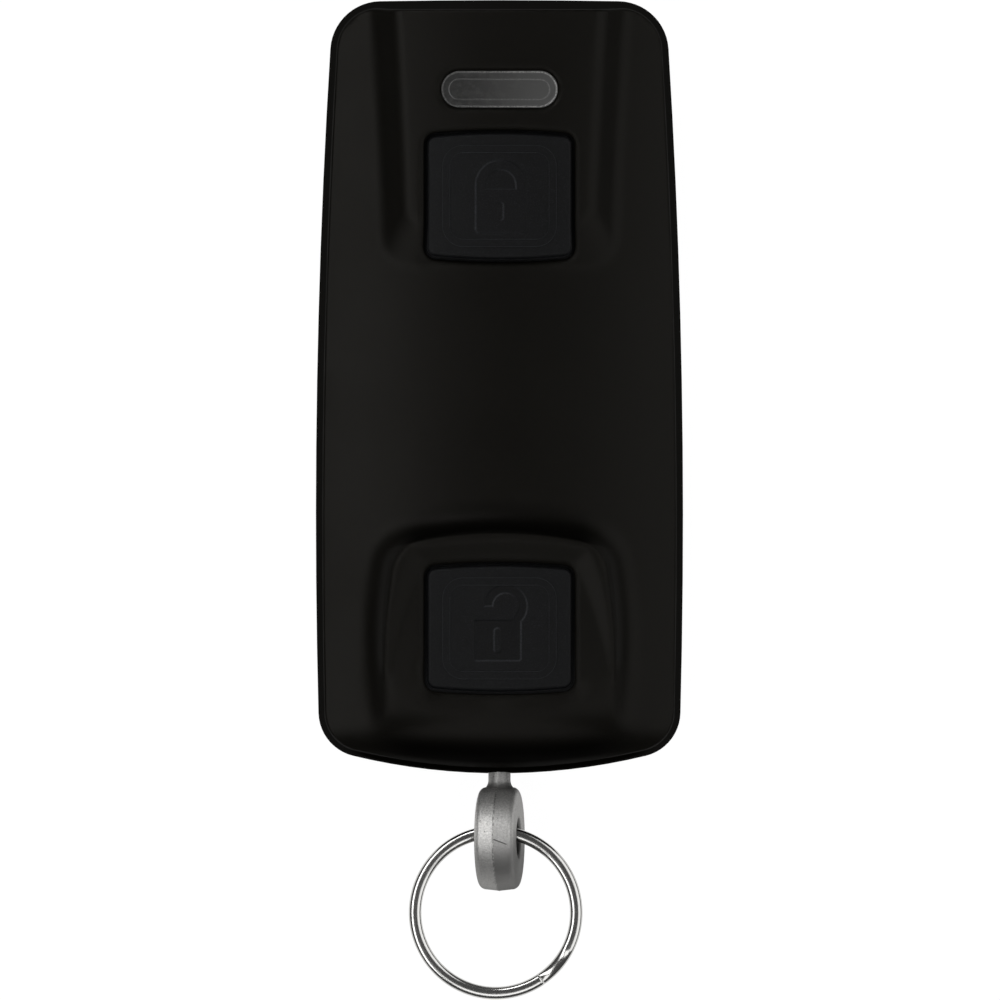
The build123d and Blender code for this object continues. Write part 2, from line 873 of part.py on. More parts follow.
with BuildPart() as case_screws:
    with Locations(*[(x, y, case_screw_seat) for x, y in screw_places]):
        add(pan_head_screw(case_screw_length))
case_screws.part.label = "case_screws"
export_step(case_screws.part, "parts/case_screws.step")

# Keys: a cap under the pad's own crown, a flange under the cover, a post on the switch
for name, place, skin in (
    ("lock", upper_key_place, upper_skin(key_recess)),
    ("unlock", lower_key_place, lower_skin(dish_depth + key_recess)),
):
    with BuildPart() as key:
        extrude(opening_outline(place, -key_gap, key_flange_bottom), amount=front_rise)
        add(skin, mode=Mode.INTERSECT)
        fillet(key.faces().sort_by(Axis.Z)[-1].outer_wire().edges(), key_edge_radius)
        add(raised_frame(place, skin))
        extrude(
            opening_outline(place, key_flange_margin, key_flange_bottom),
            amount=key_flange_thickness,
        )
        post_bottom = plunger_top + key_post_gap
        round_posts([(0, place)], key_post_diameter, post_bottom, key_flange_top - post_bottom)
    key.part.label = f"{name}_button"
    export_step(key.part, f"parts/{name}_button.step")

# Status window with its flange, and the guide that brings the lamp's light to it
with BuildPart() as status_window:
    extrude(
        slot_outline(window_length, window_width, window_place, -window_gap, window_bottom),
        amount=front_rise,
    )
    add(upper_skin(window_recess), mode=Mode.INTERSECT)
    fillet(status_window.faces().sort_by(Axis.Z)[-1].edges(), window_edge_radius)
    extrude(
        slot_outline(window_length, window_width, window_place, window_margin, window_bottom),
        amount=window_flange_thickness,
    )
status_window.part.label = "status_window"
export_step(status_window.part, "parts/status_window.step")

with BuildPart() as light_guide:
    guide_bottom = board_top + lamp_height + guide_lamp_gap
    extrude(
        slot_outline(guide_length, guide_width, window_place, 0, guide_bottom),
        amount=window_bottom - guide_bottom,
    )
    extrude(
        slot_outline(window_length, window_width, window_place, window_margin, window_bottom),
        amount=-guide_flange_thickness,
    )
light_guide.part.label = "light_guide"
export_step(light_guide.part, "parts/light_guide.step")

# Circuit board between the covers' posts, clear of the case bosses and the eye's block
with BuildPart() as circuit_board:
    with BuildSketch(Plane.XY.offset(board_bottom)):
        add(body_outline(board_inset, board_bottom))
        with Locations((0, saddle_end + board_end_gap)):
            Rectangle(body_width, body_length, align=(Align.CENTER, Align.MAX), mode=Mode.SUBTRACT)
        with Locations(*screw_places):
            Circle(boss_radius + board_notch_clearance, mode=Mode.SUBTRACT)
        with Locations(*post_places):
            Circle(pin_diameter / 2 + pin_clearance, mode=Mode.SUBTRACT)
    extrude(amount=board_thickness)
circuit_board.part.label = "circuit_board"
export_step(circuit_board.part, "parts/circuit_board.step")

# Push switches under the keys: base with a well, metal frame, dome and plunger
for name, place in (("lock", upper_key_place), ("unlock", lower_key_place)):
    with BuildPart() as switch_base:
        extrude(
            rounded_outline(switch_side, switch_side, switch_corner_radius, place, board_top),
            amount=switch_base_height,
        )
        round_posts([(0, place)], switch_well_diameter, dome_base, front_rise, Mode.SUBTRACT)
    switch_base.part.label = f"{name}_switch_base"
    export_step(switch_base.part, f"parts/{name}_switch_base.step")

    with BuildPart() as switch_frame:
        frame_side = switch_side + 2 * switch_frame_thickness
        extrude(
            rounded_outline(frame_side, switch_side, switch_corner_radius, place, switch_top),
            amount=switch_frame_thickness,
        )
        with BuildSketch(Plane((0, place, switch_top))):
            with GridLocations(switch_side + switch_frame_thickness, 1, 2, 1):
                Rectangle(switch_frame_thickness, switch_leg_width)
        extrude(amount=-switch_base_height)
        hole_diameter = plunger_diameter + 2 * plunger_clearance
        round_posts([(0, place)], hole_diameter, switch_top, front_rise, Mode.SUBTRACT)
    switch_frame.part.label = f"{name}_switch_frame"
    export_step(switch_frame.part, f"parts/{name}_switch_frame.step")

    with BuildPart() as switch_dome:
        reach = dome_diameter / 2
        rise = dome_top - dome_base
        with BuildSketch(Plane.XZ.offset(-place)):
            with BuildLine():
                inner = ThreePointArc(
                    (-reach, dome_base),
                    (0, dome_top - dome_thickness),
                    (reach, dome_base),
                )
                outer = ThreePointArc(
                    (reach + dome_thickness, dome_base),
                    (0, dome_top),
                    (-reach - dome_thickness, dome_base),
                )
                Line(inner @ 1, outer @ 0)
                Line(outer @ 1, inner @ 0)
            make_face()
            with Locations((0, dome_base)):
                Rectangle(
                    2 * dome_diameter, 2 * rise, align=(Align.MAX, Align.CENTER), mode=Mode.SUBTRACT
                )
        revolve(axis=Axis((0, place, 0), (0, 0, 1)))
    switch_dome.part.label = f"{name}_switch_dome"
    export_step(switch_dome.part, f"parts/{name}_switch_dome.step")

    with BuildPart() as switch_plunger:
        round_posts(
            [(0, place)],
            plunger_flange_diameter,
            plunger_flange_bottom,
            plunger_flange_thickness,
        )
        round_posts(
            [(0, place)],
            plunger_diameter,
            plunger_flange_bottom,
            plunger_top - plunger_flange_bottom,
        )
    switch_plunger.part.label = f"{name}_switch_plunger"
    export_step(switch_plunger.part, f"parts/{name}_switch_plunger.step")

# Chips and small components on the board's upper side
for name, place, length, width, height, corner_radius in (
    (
        "radio_chip",
        radio_chip_place,
        radio_chip_side,
        radio_chip_side,
        radio_chip_height,
        chip_corner_radius,
    ),
    (
        "crystal",
        crystal_place,
        crystal_length,
        crystal_width,
        crystal_height,
        crystal_corner_radius,
    ),
    (
        "chip_antenna",
        antenna_place,
        antenna_length,
        antenna_width,
        antenna_height,
        chip_corner_radius,
    ),
    (
        "status_lamp",
        (0, window_place),
        lamp_length,
        lamp_width,
        lamp_height,
        chip_corner_radius,
    ),
):
    with BuildPart() as component:
        with BuildSketch(Plane((*place, board_top))):
            RectangleRounded(length, width, corner_radius)
        extrude(amount=height)
    component.part.label = name
    export_step(component.part, f"parts/{name}.step")

with BuildPart() as chip_components:
    with BuildSketch(Plane((*component_place, board_top))):
        with GridLocations(component_pitch, component_pitch, component_columns, component_rows):
            Rectangle(component_length, component_width)
    extrude(amount=component_height)
chip_components.part.label = "chip_components"
export_step(chip_components.part, "parts/chip_components.step")

# Coin cell, can down towards the door, in its holder under the board
with BuildPart() as coin_cell:
    can_height = cell_thickness - cell_cap_height
    round_posts([(0, cell_place)], cell_diameter, cell_bottom, can_height)
    chamfer(coin_cell.edges().filter_by(GeomType.CIRCLE), cell_edge_chamfer)
    round_posts([(0, cell_place)], cell_cap_diameter, cell_bottom, cell_thickness)
coin_cell.part.label = "coin_cell"
export_step(coin_cell.part, "parts/coin_cell.step")

cell_top = cell_bottom + cell_thickness
holder_bore = cell_diameter + 2 * cell_gap
holder_side = holder_bore + 2 * holder_wall
holder_bottom = cell_bottom + holder_lift
with BuildPart() as cell_holder:
    extrude(
        rounded_outline(holder_side, holder_side, holder_corner_radius, cell_place, holder_bottom),
        amount=board_bottom - holder_bottom,
    )
    round_posts([(0, cell_place)], holder_bore, holder_bottom, board_bottom, Mode.SUBTRACT)
    with BuildSketch(Plane((0, cell_place, holder_bottom))):
        notch_width = contact_width + 2 * contact_notch_clearance
        Rectangle(body_width, notch_width, align=(Align.MIN, Align.CENTER))
    extrude(amount=board_bottom, mode=Mode.SUBTRACT)
cell_holder.part.label = "cell_holder"
export_step(cell_holder.part, "parts/cell_holder.step")

# Positive contact: a foot under the board and a leg that bears on the side of the can
foot_height = board_bottom - contact_thickness / 2
with BuildPart() as positive_contact:
    with BuildSketch(Plane.XZ.offset(-cell_place)):
        touch = cell_diameter / 2 + contact_gap + contact_thickness / 2
        leg = touch + contact_bump
        bump_height = cell_bottom + cell_thickness / 2
        with BuildLine() as strip:
            FilletPolyline(
                (leg + contact_foot, foot_height),
                (leg, foot_height),
                (leg, bump_height + contact_bump_length),
                (touch, bump_height),
                (leg, bump_height - contact_bump_length),
                radius=contact_thickness,
            )
        trace(strip.line, line_width=contact_thickness)
    extrude(amount=contact_width / 2, both=True)
positive_contact.part.label = "positive_contact"
export_step(positive_contact.part, "parts/positive_contact.step")

# Negative contact: a foot under the board and a sprung finger on the cell's cap
with BuildPart() as negative_contact:
    with BuildSketch(Plane.XZ.offset(-cell_place)):
        touch = cell_top + contact_gap + contact_thickness / 2
        with BuildLine() as strip:
            FilletPolyline(
                (-finger_length - contact_foot, foot_height),
                (-finger_length, foot_height),
                (0, touch),
                (finger_tip_length, touch + finger_tip_rise),
                radius=contact_thickness,
            )
        trace(strip.line, line_width=contact_thickness)
    extrude(amount=contact_width / 2, both=True)
negative_contact.part.label = "negative_contact"
export_step(negative_contact.part, "parts/negative_contact.step")

# Swivel eye: a die-cast disc on a shank that turns between the covers
turn = radians(eye_turn)
eye_centre = (0, eye_place, parting_height)
eye_plane = Plane(origin=eye_centre, x_dir=(0, 1, 0), z_dir=(cos(turn), 0, sin(turn)))
eye_rim = eye_place + eye_diameter / 2
shank_radius = shank_diameter / 2
groove_start = clip_start - groove_play
groove_end = clip_start + clip_thickness + groove_play
with BuildPart() as swivel_eye:
    with BuildSketch(eye_plane):
        Circle(eye_diameter / 2)
    extrude(amount=eye_thickness / 2, both=True, taper=eye_draft)
    faces = swivel_eye.faces().filter_by(GeomType.PLANE)
    fillet(faces.edges().filter_by(GeomType.CIRCLE), eye_edge_radius)
    with BuildSketch(Plane.XY.offset(parting_height)):
        with BuildLine():
            Polyline(
                (0, eye_rim - neck_overlap),
                (neck_diameter / 2, eye_rim - neck_overlap),
                (neck_diameter / 2, eye_rim),
                (shank_radius, eye_rim + neck_length),
                (shank_radius, groove_start),
                (groove_diameter / 2, groove_start),
                (groove_diameter / 2, groove_end),
                (shank_radius, groove_end),
                (shank_radius, shank_end - tail_chamfer),
                (shank_radius - tail_chamfer, shank_end),
                (0, shank_end),
                close=True,
            )
        make_face()
    revolve(axis=shank_axis)
    with BuildSketch(eye_plane.offset(-eye_thickness)):
        Circle(eye_hole_diameter / 2)
    extrude(amount=2 * eye_thickness, mode=Mode.SUBTRACT)
    hole_edges = swivel_eye.edges().filter_by(GeomType.CIRCLE).filter_by(is_eye_hole)
    chamfer(hole_edges, eye_hole_chamfer)
swivel_eye.part.label = "swivel_eye"
export_step(swivel_eye.part, "parts/swivel_eye.step")

with BuildPart() as swivel_washer:
    with BuildSketch(Plane(origin=(0, washer_start, parting_height), z_dir=(0, 1, 0))):
        Circle(washer_diameter / 2)
        Circle(shank_diameter / 2 + shank_fit, mode=Mode.SUBTRACT)
    extrude(amount=washer_thickness)
swivel_washer.part.label = "swivel_washer"
export_step(swivel_washer.part, "parts/swivel_washer.step")

with BuildPart() as swivel_clip:
    with BuildSketch(Plane(origin=(0, clip_start, parting_height), z_dir=(0, 1, 0))):
        Circle(clip_diameter / 2)
        Circle(groove_diameter / 2 + groove_play, mode=Mode.SUBTRACT)
        Rectangle(
            clip_diameter, clip_mouth, align=(Align.MIN, Align.CENTER), mode=Mode.SUBTRACT
        )
    extrude(amount=clip_thickness)
swivel_clip.part.label = "swivel_clip"
export_step(swivel_clip.part, "parts/swivel_clip.step")

# Split ring: two flat turns of wire and the stretch where one crosses into the other
with BuildPart() as split_ring:
    start = ring_cut_angle + ring_crossing
    layer = (ring_wire_height + ring_layer_gap) / 2
    with BuildSketch(ring_plane(start)):
        with Locations((0, layer), (0, -layer)):
            add(wire_section())
    revolve(axis=ring_axis, revolution_arc=360 - ring_crossing)
    for step in range(ring_crossing_steps + 1):
        share = step / ring_crossing_steps
        height = layer * cos(radians(180 * share))
        with BuildSketch(ring_plane(start - share * ring_crossing)):
            with Locations((0, height)):
                add(wire_section())
    loft(ruled=True)
split_ring.part.label = "split_ring"
export_step(split_ring.part, "parts/split_ring.step")
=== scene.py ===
"""Key-ring remote for a door lock, dressed for its portrait.

The file is laid out as an add-on for the 3D view's sidebar and is run as a script. The packed
model is loaded first as a fixed frame. Each operator then makes one piece, or a group of like
pieces, or dresses packed pieces in place. Lengths are in metres. X runs across the case, Y
towards the end with the status window and Z out of the face with the keys.
"""

import json
from math import cos, pi, radians, sin
from types import SimpleNamespace

import bmesh
import bpy
import numpy as np
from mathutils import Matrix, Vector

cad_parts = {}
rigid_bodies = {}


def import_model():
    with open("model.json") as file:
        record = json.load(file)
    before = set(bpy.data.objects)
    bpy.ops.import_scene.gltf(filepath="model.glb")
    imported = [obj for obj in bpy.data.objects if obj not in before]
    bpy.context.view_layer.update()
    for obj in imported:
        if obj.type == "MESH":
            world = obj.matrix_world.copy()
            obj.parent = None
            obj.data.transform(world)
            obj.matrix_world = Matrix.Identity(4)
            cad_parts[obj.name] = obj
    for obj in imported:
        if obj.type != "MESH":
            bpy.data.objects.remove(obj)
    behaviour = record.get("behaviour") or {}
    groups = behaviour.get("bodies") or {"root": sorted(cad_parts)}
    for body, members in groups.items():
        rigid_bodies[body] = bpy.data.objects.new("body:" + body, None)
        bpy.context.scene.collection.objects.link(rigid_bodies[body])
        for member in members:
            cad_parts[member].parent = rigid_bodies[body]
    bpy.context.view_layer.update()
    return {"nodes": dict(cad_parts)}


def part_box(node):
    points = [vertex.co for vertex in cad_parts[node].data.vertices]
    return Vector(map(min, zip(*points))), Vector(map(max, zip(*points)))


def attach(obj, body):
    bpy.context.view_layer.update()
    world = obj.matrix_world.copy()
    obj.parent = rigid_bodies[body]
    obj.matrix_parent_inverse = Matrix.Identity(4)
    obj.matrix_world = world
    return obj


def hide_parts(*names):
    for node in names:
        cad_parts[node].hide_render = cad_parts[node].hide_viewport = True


for leftover in list(bpy.data.objects):
    bpy.data.objects.remove(leftover)
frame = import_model()

bl_info = {
    "name": "Door lock remote",
    "version": (1, 0, 0),
    "blender": (4, 5, 0),
    "location": "3D View > Sidebar > Remote",
    "description": "Makes the visible pieces and finishes of a key-ring remote for a door lock",
    "category": "Object",
}

MM = 0.001

# The constants from here on are in millimetres
PARTING = 5.2  # height of the line between the covers, on which the eye and the ring lie
PHOTO_MIDDLE = (0.05, -10.49)  # place under the middle of the photograph

# Places of the keys along Y, and the skins of the keys and of the upper pad: the height of the
# crest, the radius across, the place of the crest and the radius along
LOCK_PLACE = 17.57
UNLOCK_PLACE = -22.34
LOCK_CROWN = (13.88, 60.0, 0.0, 900.0)
UNLOCK_CROWN = (13.2795, 150.0, -13.45, 180.0)
PAD_CROWN = (13.96, 60.0, 0.0, 900.0)

# Both ends of the scratch on the eye
SCRATCH = ((-0.63, -41.83), (0.7, -42.35))


class Value:
    """A socket in a finish. Sums written with it add the Math nodes that they need."""

    def __init__(self, finish, socket):
        self.finish = finish
        self.socket = socket

    def maths(self, operation, *others):
        """Result of one Math node."""
        return self.finish.add("ShaderNodeMath", {"operation": operation}, [self, *others])

    def __add__(self, other):
        return self.maths("ADD", other)

    __radd__ = __add__

    def __mul__(self, other):
        return self.maths("MULTIPLY", other)

    __rmul__ = __mul__

    def __sub__(self, other):
        return self.maths("SUBTRACT", other)

    def __rsub__(self, other):
        return (self * -1) + other

    def __abs__(self):
        return self.maths("ABSOLUTE")

    def ease(self, low, high):
        """0 below low, 1 above high and a smooth step between."""
        return self.finish.add(
            "ShaderNodeMapRange",
            {"interpolation_type": "SMOOTHSTEP"},
            {"Value": self, "From Min": low, "From Max": high},
        )


class Finish:
    """One node material, built from the shader's sockets backwards."""

    def __init__(self, name):
        self.material = bpy.data.materials.new(name)
        self.material.use_nodes = True
        self.tree = self.material.node_tree
        self.tree.nodes.clear()

    def add(self, kind, settings, inputs=(), output=0):
        """Add a node: its settings first, then the values or links of its sockets."""
        node = self.tree.nodes.new(kind)
        for key, setting in settings.items():
            setattr(node, key, setting)
        pairs = inputs.items() if isinstance(inputs, dict) else enumerate(inputs)
        for key, value in pairs:
            if isinstance(value, Value):
                self.tree.links.new(value.socket, node.inputs[key])
            else:
                node.inputs[key].default_value = value
        return Value(self, node.outputs[output])

    def place(self):
        """Object coordinates."""
        return self.add("ShaderNodeTexCoord", {}, {}, "Object")

    def along(self, axis, vector=None):
        """One coordinate, 0 to 2, of the place in metres or of another vector."""
        return self.add("ShaderNodeSeparateXYZ", {}, [vector or self.place()], axis)

    def noise(self, scale, detail=2.0, roughness=0.5):
        """Noise on Object coordinates, with its scale in cells per metre."""
        sockets = {"Vector": self.place(), "Scale": scale, "Detail": detail, "Roughness": roughness}
        return self.add("ShaderNodeTexNoise", {}, sockets)

    def rounded(self, radius, samples):
        """Normals rounded over a radius along creases."""
        return self.add("ShaderNodeBevel", {"samples": samples}, {"Radius": radius})

    def plain(self):
        """Normals of the mesh as it is."""
        return self.add("ShaderNodeNewGeometry", {}, {}, "Normal")

    def edges(self, radius):
        """1 along sharp edges and 0 away from them.

        It tells by how far normals rounded over the radius lean away from the plain ones.
        """
        pair = [self.rounded(radius, samples=6), self.plain()]
        level = self.add("ShaderNodeVectorMath", {"operation": "DOT_PRODUCT"}, pair, 1)
        return (1 - level).ease(0.01, 0.12)

    def mark(self, name):
        """A number stored on the piece's own points."""
        return self.add("ShaderNodeAttribute", {"attribute_name": name}, {}, "Fac")

    # The Mix node keeps the sockets of all its kinds side by side: vectors are inputs 4 and 5
    # and output 1, and colours are inputs 6 and 7 and output 2.

    def mix(self, factor, first, second):
        """Mix two colours."""
        sockets = {0: factor, 6: first, 7: second}
        return self.add("ShaderNodeMix", {"data_type": "RGBA"}, sockets, 2)

    def blend(self, factor, first, second):
        """Mix two directions."""
        sockets = {0: factor, 4: first, 5: second}
        return self.add("ShaderNodeMix", {"data_type": "VECTOR"}, sockets, 1)

    def bump(self, height, distance, under=None):
        """Normal of a surface raised by a height of 0 to 1 over a distance in metres."""
        sockets = {"Distance": distance, "Height": height}
        if under:
            sockets["Normal"] = under
        return self.add("ShaderNodeBump", {}, sockets)

    def close(self, dull=None, **sockets):
        """End the material in one Principled shader, with a share of plain diffuse if given."""
        named = {key.replace("_", " "): value for key, value in sockets.items()}
        shader = self.add("ShaderNodeBsdfPrincipled", {}, named)
        if dull is not None:
            flat = self.add("ShaderNodeBsdfDiffuse", {}, {"Color": named["Base Color"]})
            shader = self.add("ShaderNodeMixShader", {}, [dull, shader, flat])
        return self.end(shader)

    def end(self, shader):
        """End the material in a shader."""
        output = self.tree.nodes.new("ShaderNodeOutputMaterial")
        self.tree.links.new(shader.socket, output.inputs["Surface"])
        return self.material


def colour(values, share=1.0):
    """A colour property as an opaque socket colour, at a share of its brightness."""
    return (*[share * value for value in values[:3]], 1.0)


def cover_finish(tint):
    """Moulded cover: satin on the face, matt on steep walls, faintly clouded, fine grain.

    Normals are rounded over creases, furthest where the lower pad ends, and left sharp along the
    case's outer edge. The hollow over that pad's crest and the fall at the case's lower end are
    duller, and darker by painted shade. Both are bands along a parabola across the case.
    """
    crease, far_crease = 0.9 * MM, 2.2 * MM
    crest_place, crest_radius = -13.54 * MM, 37 * MM
    end_place, end_radius = -35.8 * MM, 57 * MM
    finish = Finish("cover_plastic")
    cloud = finish.noise(90, 3)
    grit = finish.noise(9000, 2, 0.7)
    facing = finish.add("ShaderNodeTexCoord", {}, {}, "Normal")
    matt = 1 - abs(finish.along(2, facing)).ease(0.15, 0.75)
    wear_and_shade = finish.edges(0.08 * MM) * finish.noise(700, 3).ease(0.35, 0.7)
    grazing = finish.add("ShaderNodeLayerWeight", {}, {}, "Facing").ease(0.15, 0.5)
    y, off_middle = finish.along(1), abs(finish.along(0))
    square = off_middle * off_middle
    over_crest = y + square * (1 / (2 * crest_radius)) - crest_place
    over_end = y - square * (1 / (2 * end_radius)) - end_place

    corner = 1 - (y - 0.35 * off_middle).ease(-31.5 * MM, -29 * MM)
    near, far = finish.rounded(crease, samples=8), finish.rounded(far_crease, samples=10)
    normal = finish.blend(corner, near, far)
    within = (1 - off_middle.ease(13.5 * MM, 14.5 * MM)) * (1 - y.ease(33.6 * MM, 34.4 * MM))
    within = within * over_end.ease(1 * MM, 2 * MM)
    normal = finish.blend(within, finish.plain(), normal)

    # Painted shade: masks for the hollow over the lower pad's crest and the fall at the case's
    # lower end
    scoop_shade = over_crest.ease(-0.15 * MM, 0.1 * MM) * (1 - over_crest.ease(0, 3.6 * MM))
    scoop_shade = scoop_shade * (1 - off_middle.ease(7 * MM, 11 * MM))
    fall = 0.4 * over_end.ease(0, 0.4 * MM) + 0.6 * over_end.ease(0.7 * MM, 1.2 * MM)
    fall = fall * (1 - over_end.ease(1.9 * MM, 3.6 * MM))
    above_parting = finish.along(2).ease(6 * MM, 7 * MM)
    fall = fall * (1 - off_middle.ease(7 * MM, 15 * MM)) * above_parting
    base = finish.mix(cloud, colour(tint, 0.85), colour(tint, 1.15))
    # Painted shade darkens the hollow and the fall
    base = finish.mix(scoop_shade + fall, base, colour(tint, 0.3))
    return finish.close(
        Base_Color=finish.mix(wear_and_shade * 0.5, base, colour(tint, 4.0)),
        Roughness=0.34 + 0.12 * cloud + 0.12 * (grit - 0.5) + 0.25 * matt,
        Normal=finish.bump(grit, 0.002 * MM, normal),
        Specular_IOR_Level=0.1,
        Specular_Tint=(1, 0.97, 0.92, 1),
        dull=matt * (0.1 + 0.83 * grazing) + 0.75 * (scoop_shade + fall),
    )


def key_finish(tint):
    """Spark-eroded key plastic: speckled grain, edges lighter from wear, painted highlights along
    sign edges and painted shade in sunk signs.
    """
    finish = Finish("key_plastic")
    cloud = finish.noise(160, 3)
    speck = finish.noise(7500, 3, 0.75)
    wear_and_shade = finish.edges(0.07 * MM)
    broken = 0.45 + 0.55 * speck.ease(0.4, 0.62)
    base = finish.mix(cloud, colour(tint, 0.85), colour(tint, 1.1))
    base = finish.mix(0.7 * speck.ease(0.5, 0.68), base, colour(tint, 3.0))
    # Painted shade darkens the floor of a sunk sign
    base = finish.mix(0.35 * finish.mark("floor"), base, colour(tint, 0.3))
    # Edges are lighter from wear, and the line mark adds a painted highlight along the sign's edges
    base = finish.mix(0.75 * wear_and_shade + finish.mark("line") * broken, base, colour(tint, 9.0))
    return finish.close(
        Base_Color=base,
        Roughness=0.46 + 0.16 * (speck - 0.5),
        Normal=finish.bump(speck, 0.02 * MM),
        Specular_IOR_Level=0.11,
    )


def window_finish(tint):
    """Smoked lens with painted light: lighter towards one end, with painted highlights along its
    rims.
    """
    finish = Finish("window_plastic")
    # Painted light: the lens grows lighter towards one end
    painted_lit_end = finish.along(0).ease(-5.2 * MM, 5.6 * MM)
    haze = finish.noise(1500, 4, 0.65)
    # Painted highlights along the lens's rims, broken by noise
    line = finish.mark("line") * (0.4 + 1.1 * finish.noise(7000, 2).ease(0.35, 0.65))
    base = finish.mix(painted_lit_end, colour(tint, 0.5), colour(tint, 1.5))
    base = finish.mix(0.4 * haze.ease(0.4, 0.75), base, colour(tint, 1.4))
    # The painted highlights are stronger towards the lighter end
    return finish.close(
        Base_Color=finish.mix(line * (0.2 + 0.8 * painted_lit_end), base, colour(tint, 5.0)),
        Roughness=0.2 + 0.1 * haze,
        Normal=finish.bump(haze, 0.003 * MM),
        Coat_Weight=0.15,
        Specular_IOR_Level=0.25,
    )


def metal_finish(name, tint, roughness, grain, relief):
    """Plated metal with a fine grain."""
    finish = Finish(name)
    cloud = finish.noise(260, 3)
    grit = finish.noise(grain, 2, 0.6)
    return finish.close(
        Base_Color=finish.mix(cloud, colour(tint, 0.86), colour(tint)),
        Metallic=1.0,
        Roughness=roughness * (0.8 + 0.2 * cloud + 0.2 * grit),
        Normal=finish.bump(grit, relief),
    )


def scratch_line(finish, start, end):
    """1 on a straight line between two places seen from above, and 0 elsewhere."""
    taper, half_width = 0.1 * MM, (0.02 * MM, 0.07 * MM)
    run = np.subtract(end, start) * MM
    span = float(np.hypot(*run))
    across, along = (run / span).tolist()
    x, y = finish.along(0) - start[0] * MM, finish.along(1) - start[1] * MM
    forward = x * across + y * along
    aside = abs(x * along - y * across)
    between = forward.ease(0, taper) * (1 - forward.ease(span - taper, span))
    on_top = finish.along(2).ease(8 * MM, 9 * MM)
    return between * on_top * (1 - aside.ease(*half_width))


def casting_finish(tint):
    """Tumbled die casting: sandy grain, dull pits, a dotted seam and one scratch.

    The half that faces right and the end towards the ring get painted shade, a darker grey, and
    painted shade also darkens the hole and the shank.
    """
    finish = Finish("eye_nickel")
    cloud = finish.noise(420, 3, 0.6)
    sand = finish.noise(6500, 3, 0.7)
    pits = finish.noise(3200, 2, 0.5).ease(0.66, 0.78)
    scratch = scratch_line(finish, *SCRATCH)
    seam = finish.mark("seam") * finish.noise(5000, 2).ease(0.38, 0.58)
    # Painted shade: a darker grey on the half that faces right and towards the ring
    low = 1 - finish.along(1).ease(-43.8 * MM, -40.2 * MM)
    side = finish.mark("side")
    wear_and_shade = side * (0.35 + 0.65 * low) + 0.6 * (1 - side) * low
    base = finish.mix(cloud, colour(tint, 0.8), colour(tint))
    base = finish.mix(sand.ease(0.35, 0.65), colour(tint, 0.62), base)
    base = finish.mix(wear_and_shade, base, colour(tint, 0.28))
    # Pits, the scratch and the seam are darker; the shade mark adds painted shade in the hole and
    # on the shank
    marked = 0.5 * pits + 0.7 * scratch + 0.6 * seam + 0.85 * finish.mark("shade")
    base = finish.mix(marked, base, colour(tint, 0.12))
    return finish.close(
        Base_Color=base,
        Metallic=1.0,
        Roughness=0.5 + 0.1 * (cloud - 0.5) + 0.12 * (sand - 0.5) + 0.15 * pits,
        Normal=finish.bump(sand + pits * -1.0 + scratch * -1.5, 0.022 * MM),
        Specular_Tint=(0.3, 0.3, 0.3, 1),
        dull=0.12,
    )


def plastic_finish(name, tint, roughness, grain, relief):
    """Plain moulded or cast piece inside the case."""
    finish = Finish(name)
    cloud = finish.noise(300, 3)
    grit = finish.noise(grain, 2, 0.6)
    return finish.close(
        Base_Color=finish.mix(cloud, colour(tint, 0.8), colour(tint, 1.15)),
        Roughness=roughness + 0.12 * (grit - 0.5),
        Normal=finish.bump(grit, relief),
    )


def board_finish(tint, copper):
    """Circuit board: lacquer over copper tracks, with its weave at the edge."""
    finish = Finish("board_laminate")
    tracks = finish.add(
        "ShaderNodeTexBrick",
        {"offset": 0.5},
        {"Vector": finish.place(), "Scale": 420.0, "Mortar Size": 0.03, "Color1": (0, 0, 0, 1),
         "Color2": (0.25, 0.25, 0.25, 1), "Mortar": (1, 1, 1, 1)},
        1,
    )
    weave = finish.noise(5200, 2, 0.5)
    return finish.close(
        Base_Color=finish.mix(tracks * 0.5, colour(tint), colour(copper)),
        Roughness=0.28 + 0.2 * weave,
        Normal=finish.bump(tracks + 0.3 * weave, 0.02 * MM),
    )


def dress(material, *nodes):
    """Give packed pieces a finish in place of their plain slot colour."""
    for name in nodes:
        for slot in frame["nodes"][name].material_slots:
            slot.material = material


def quads(index):
    """Four-sided faces between neighbours in a grid of point numbers."""
    corners = [index[:-1, :-1], index[:-1, 1:], index[1:, 1:], index[1:, :-1]]
    return np.stack(corners, axis=-1).reshape(-1, 4).tolist()


def surface(name, points, material, wrap=(False, False), caps=(False, False), marks=None):
    """Mesh of a grid of points in millimetres, rows by columns.

    The directions named in wrap close on themselves. Caps fill the first and last row. Marks
    are numbers on the same grid that finishes can read.
    """
    rows, columns = points.shape[:2]
    index = np.arange(rows * columns).reshape(rows, columns)
    if wrap[0]:
        index = np.concatenate([index, index[:1]], axis=0)
    if wrap[1]:
        index = np.concatenate([index, index[:, :1]], axis=1)
    faces = quads(index)
    if caps[0]:
        faces.append(index[0, :columns][::-1].tolist())
    if caps[1]:
        faces.append(index[-1, :columns].tolist())
    return piece_of(name, points.reshape(-1, 3), faces, material, marks)


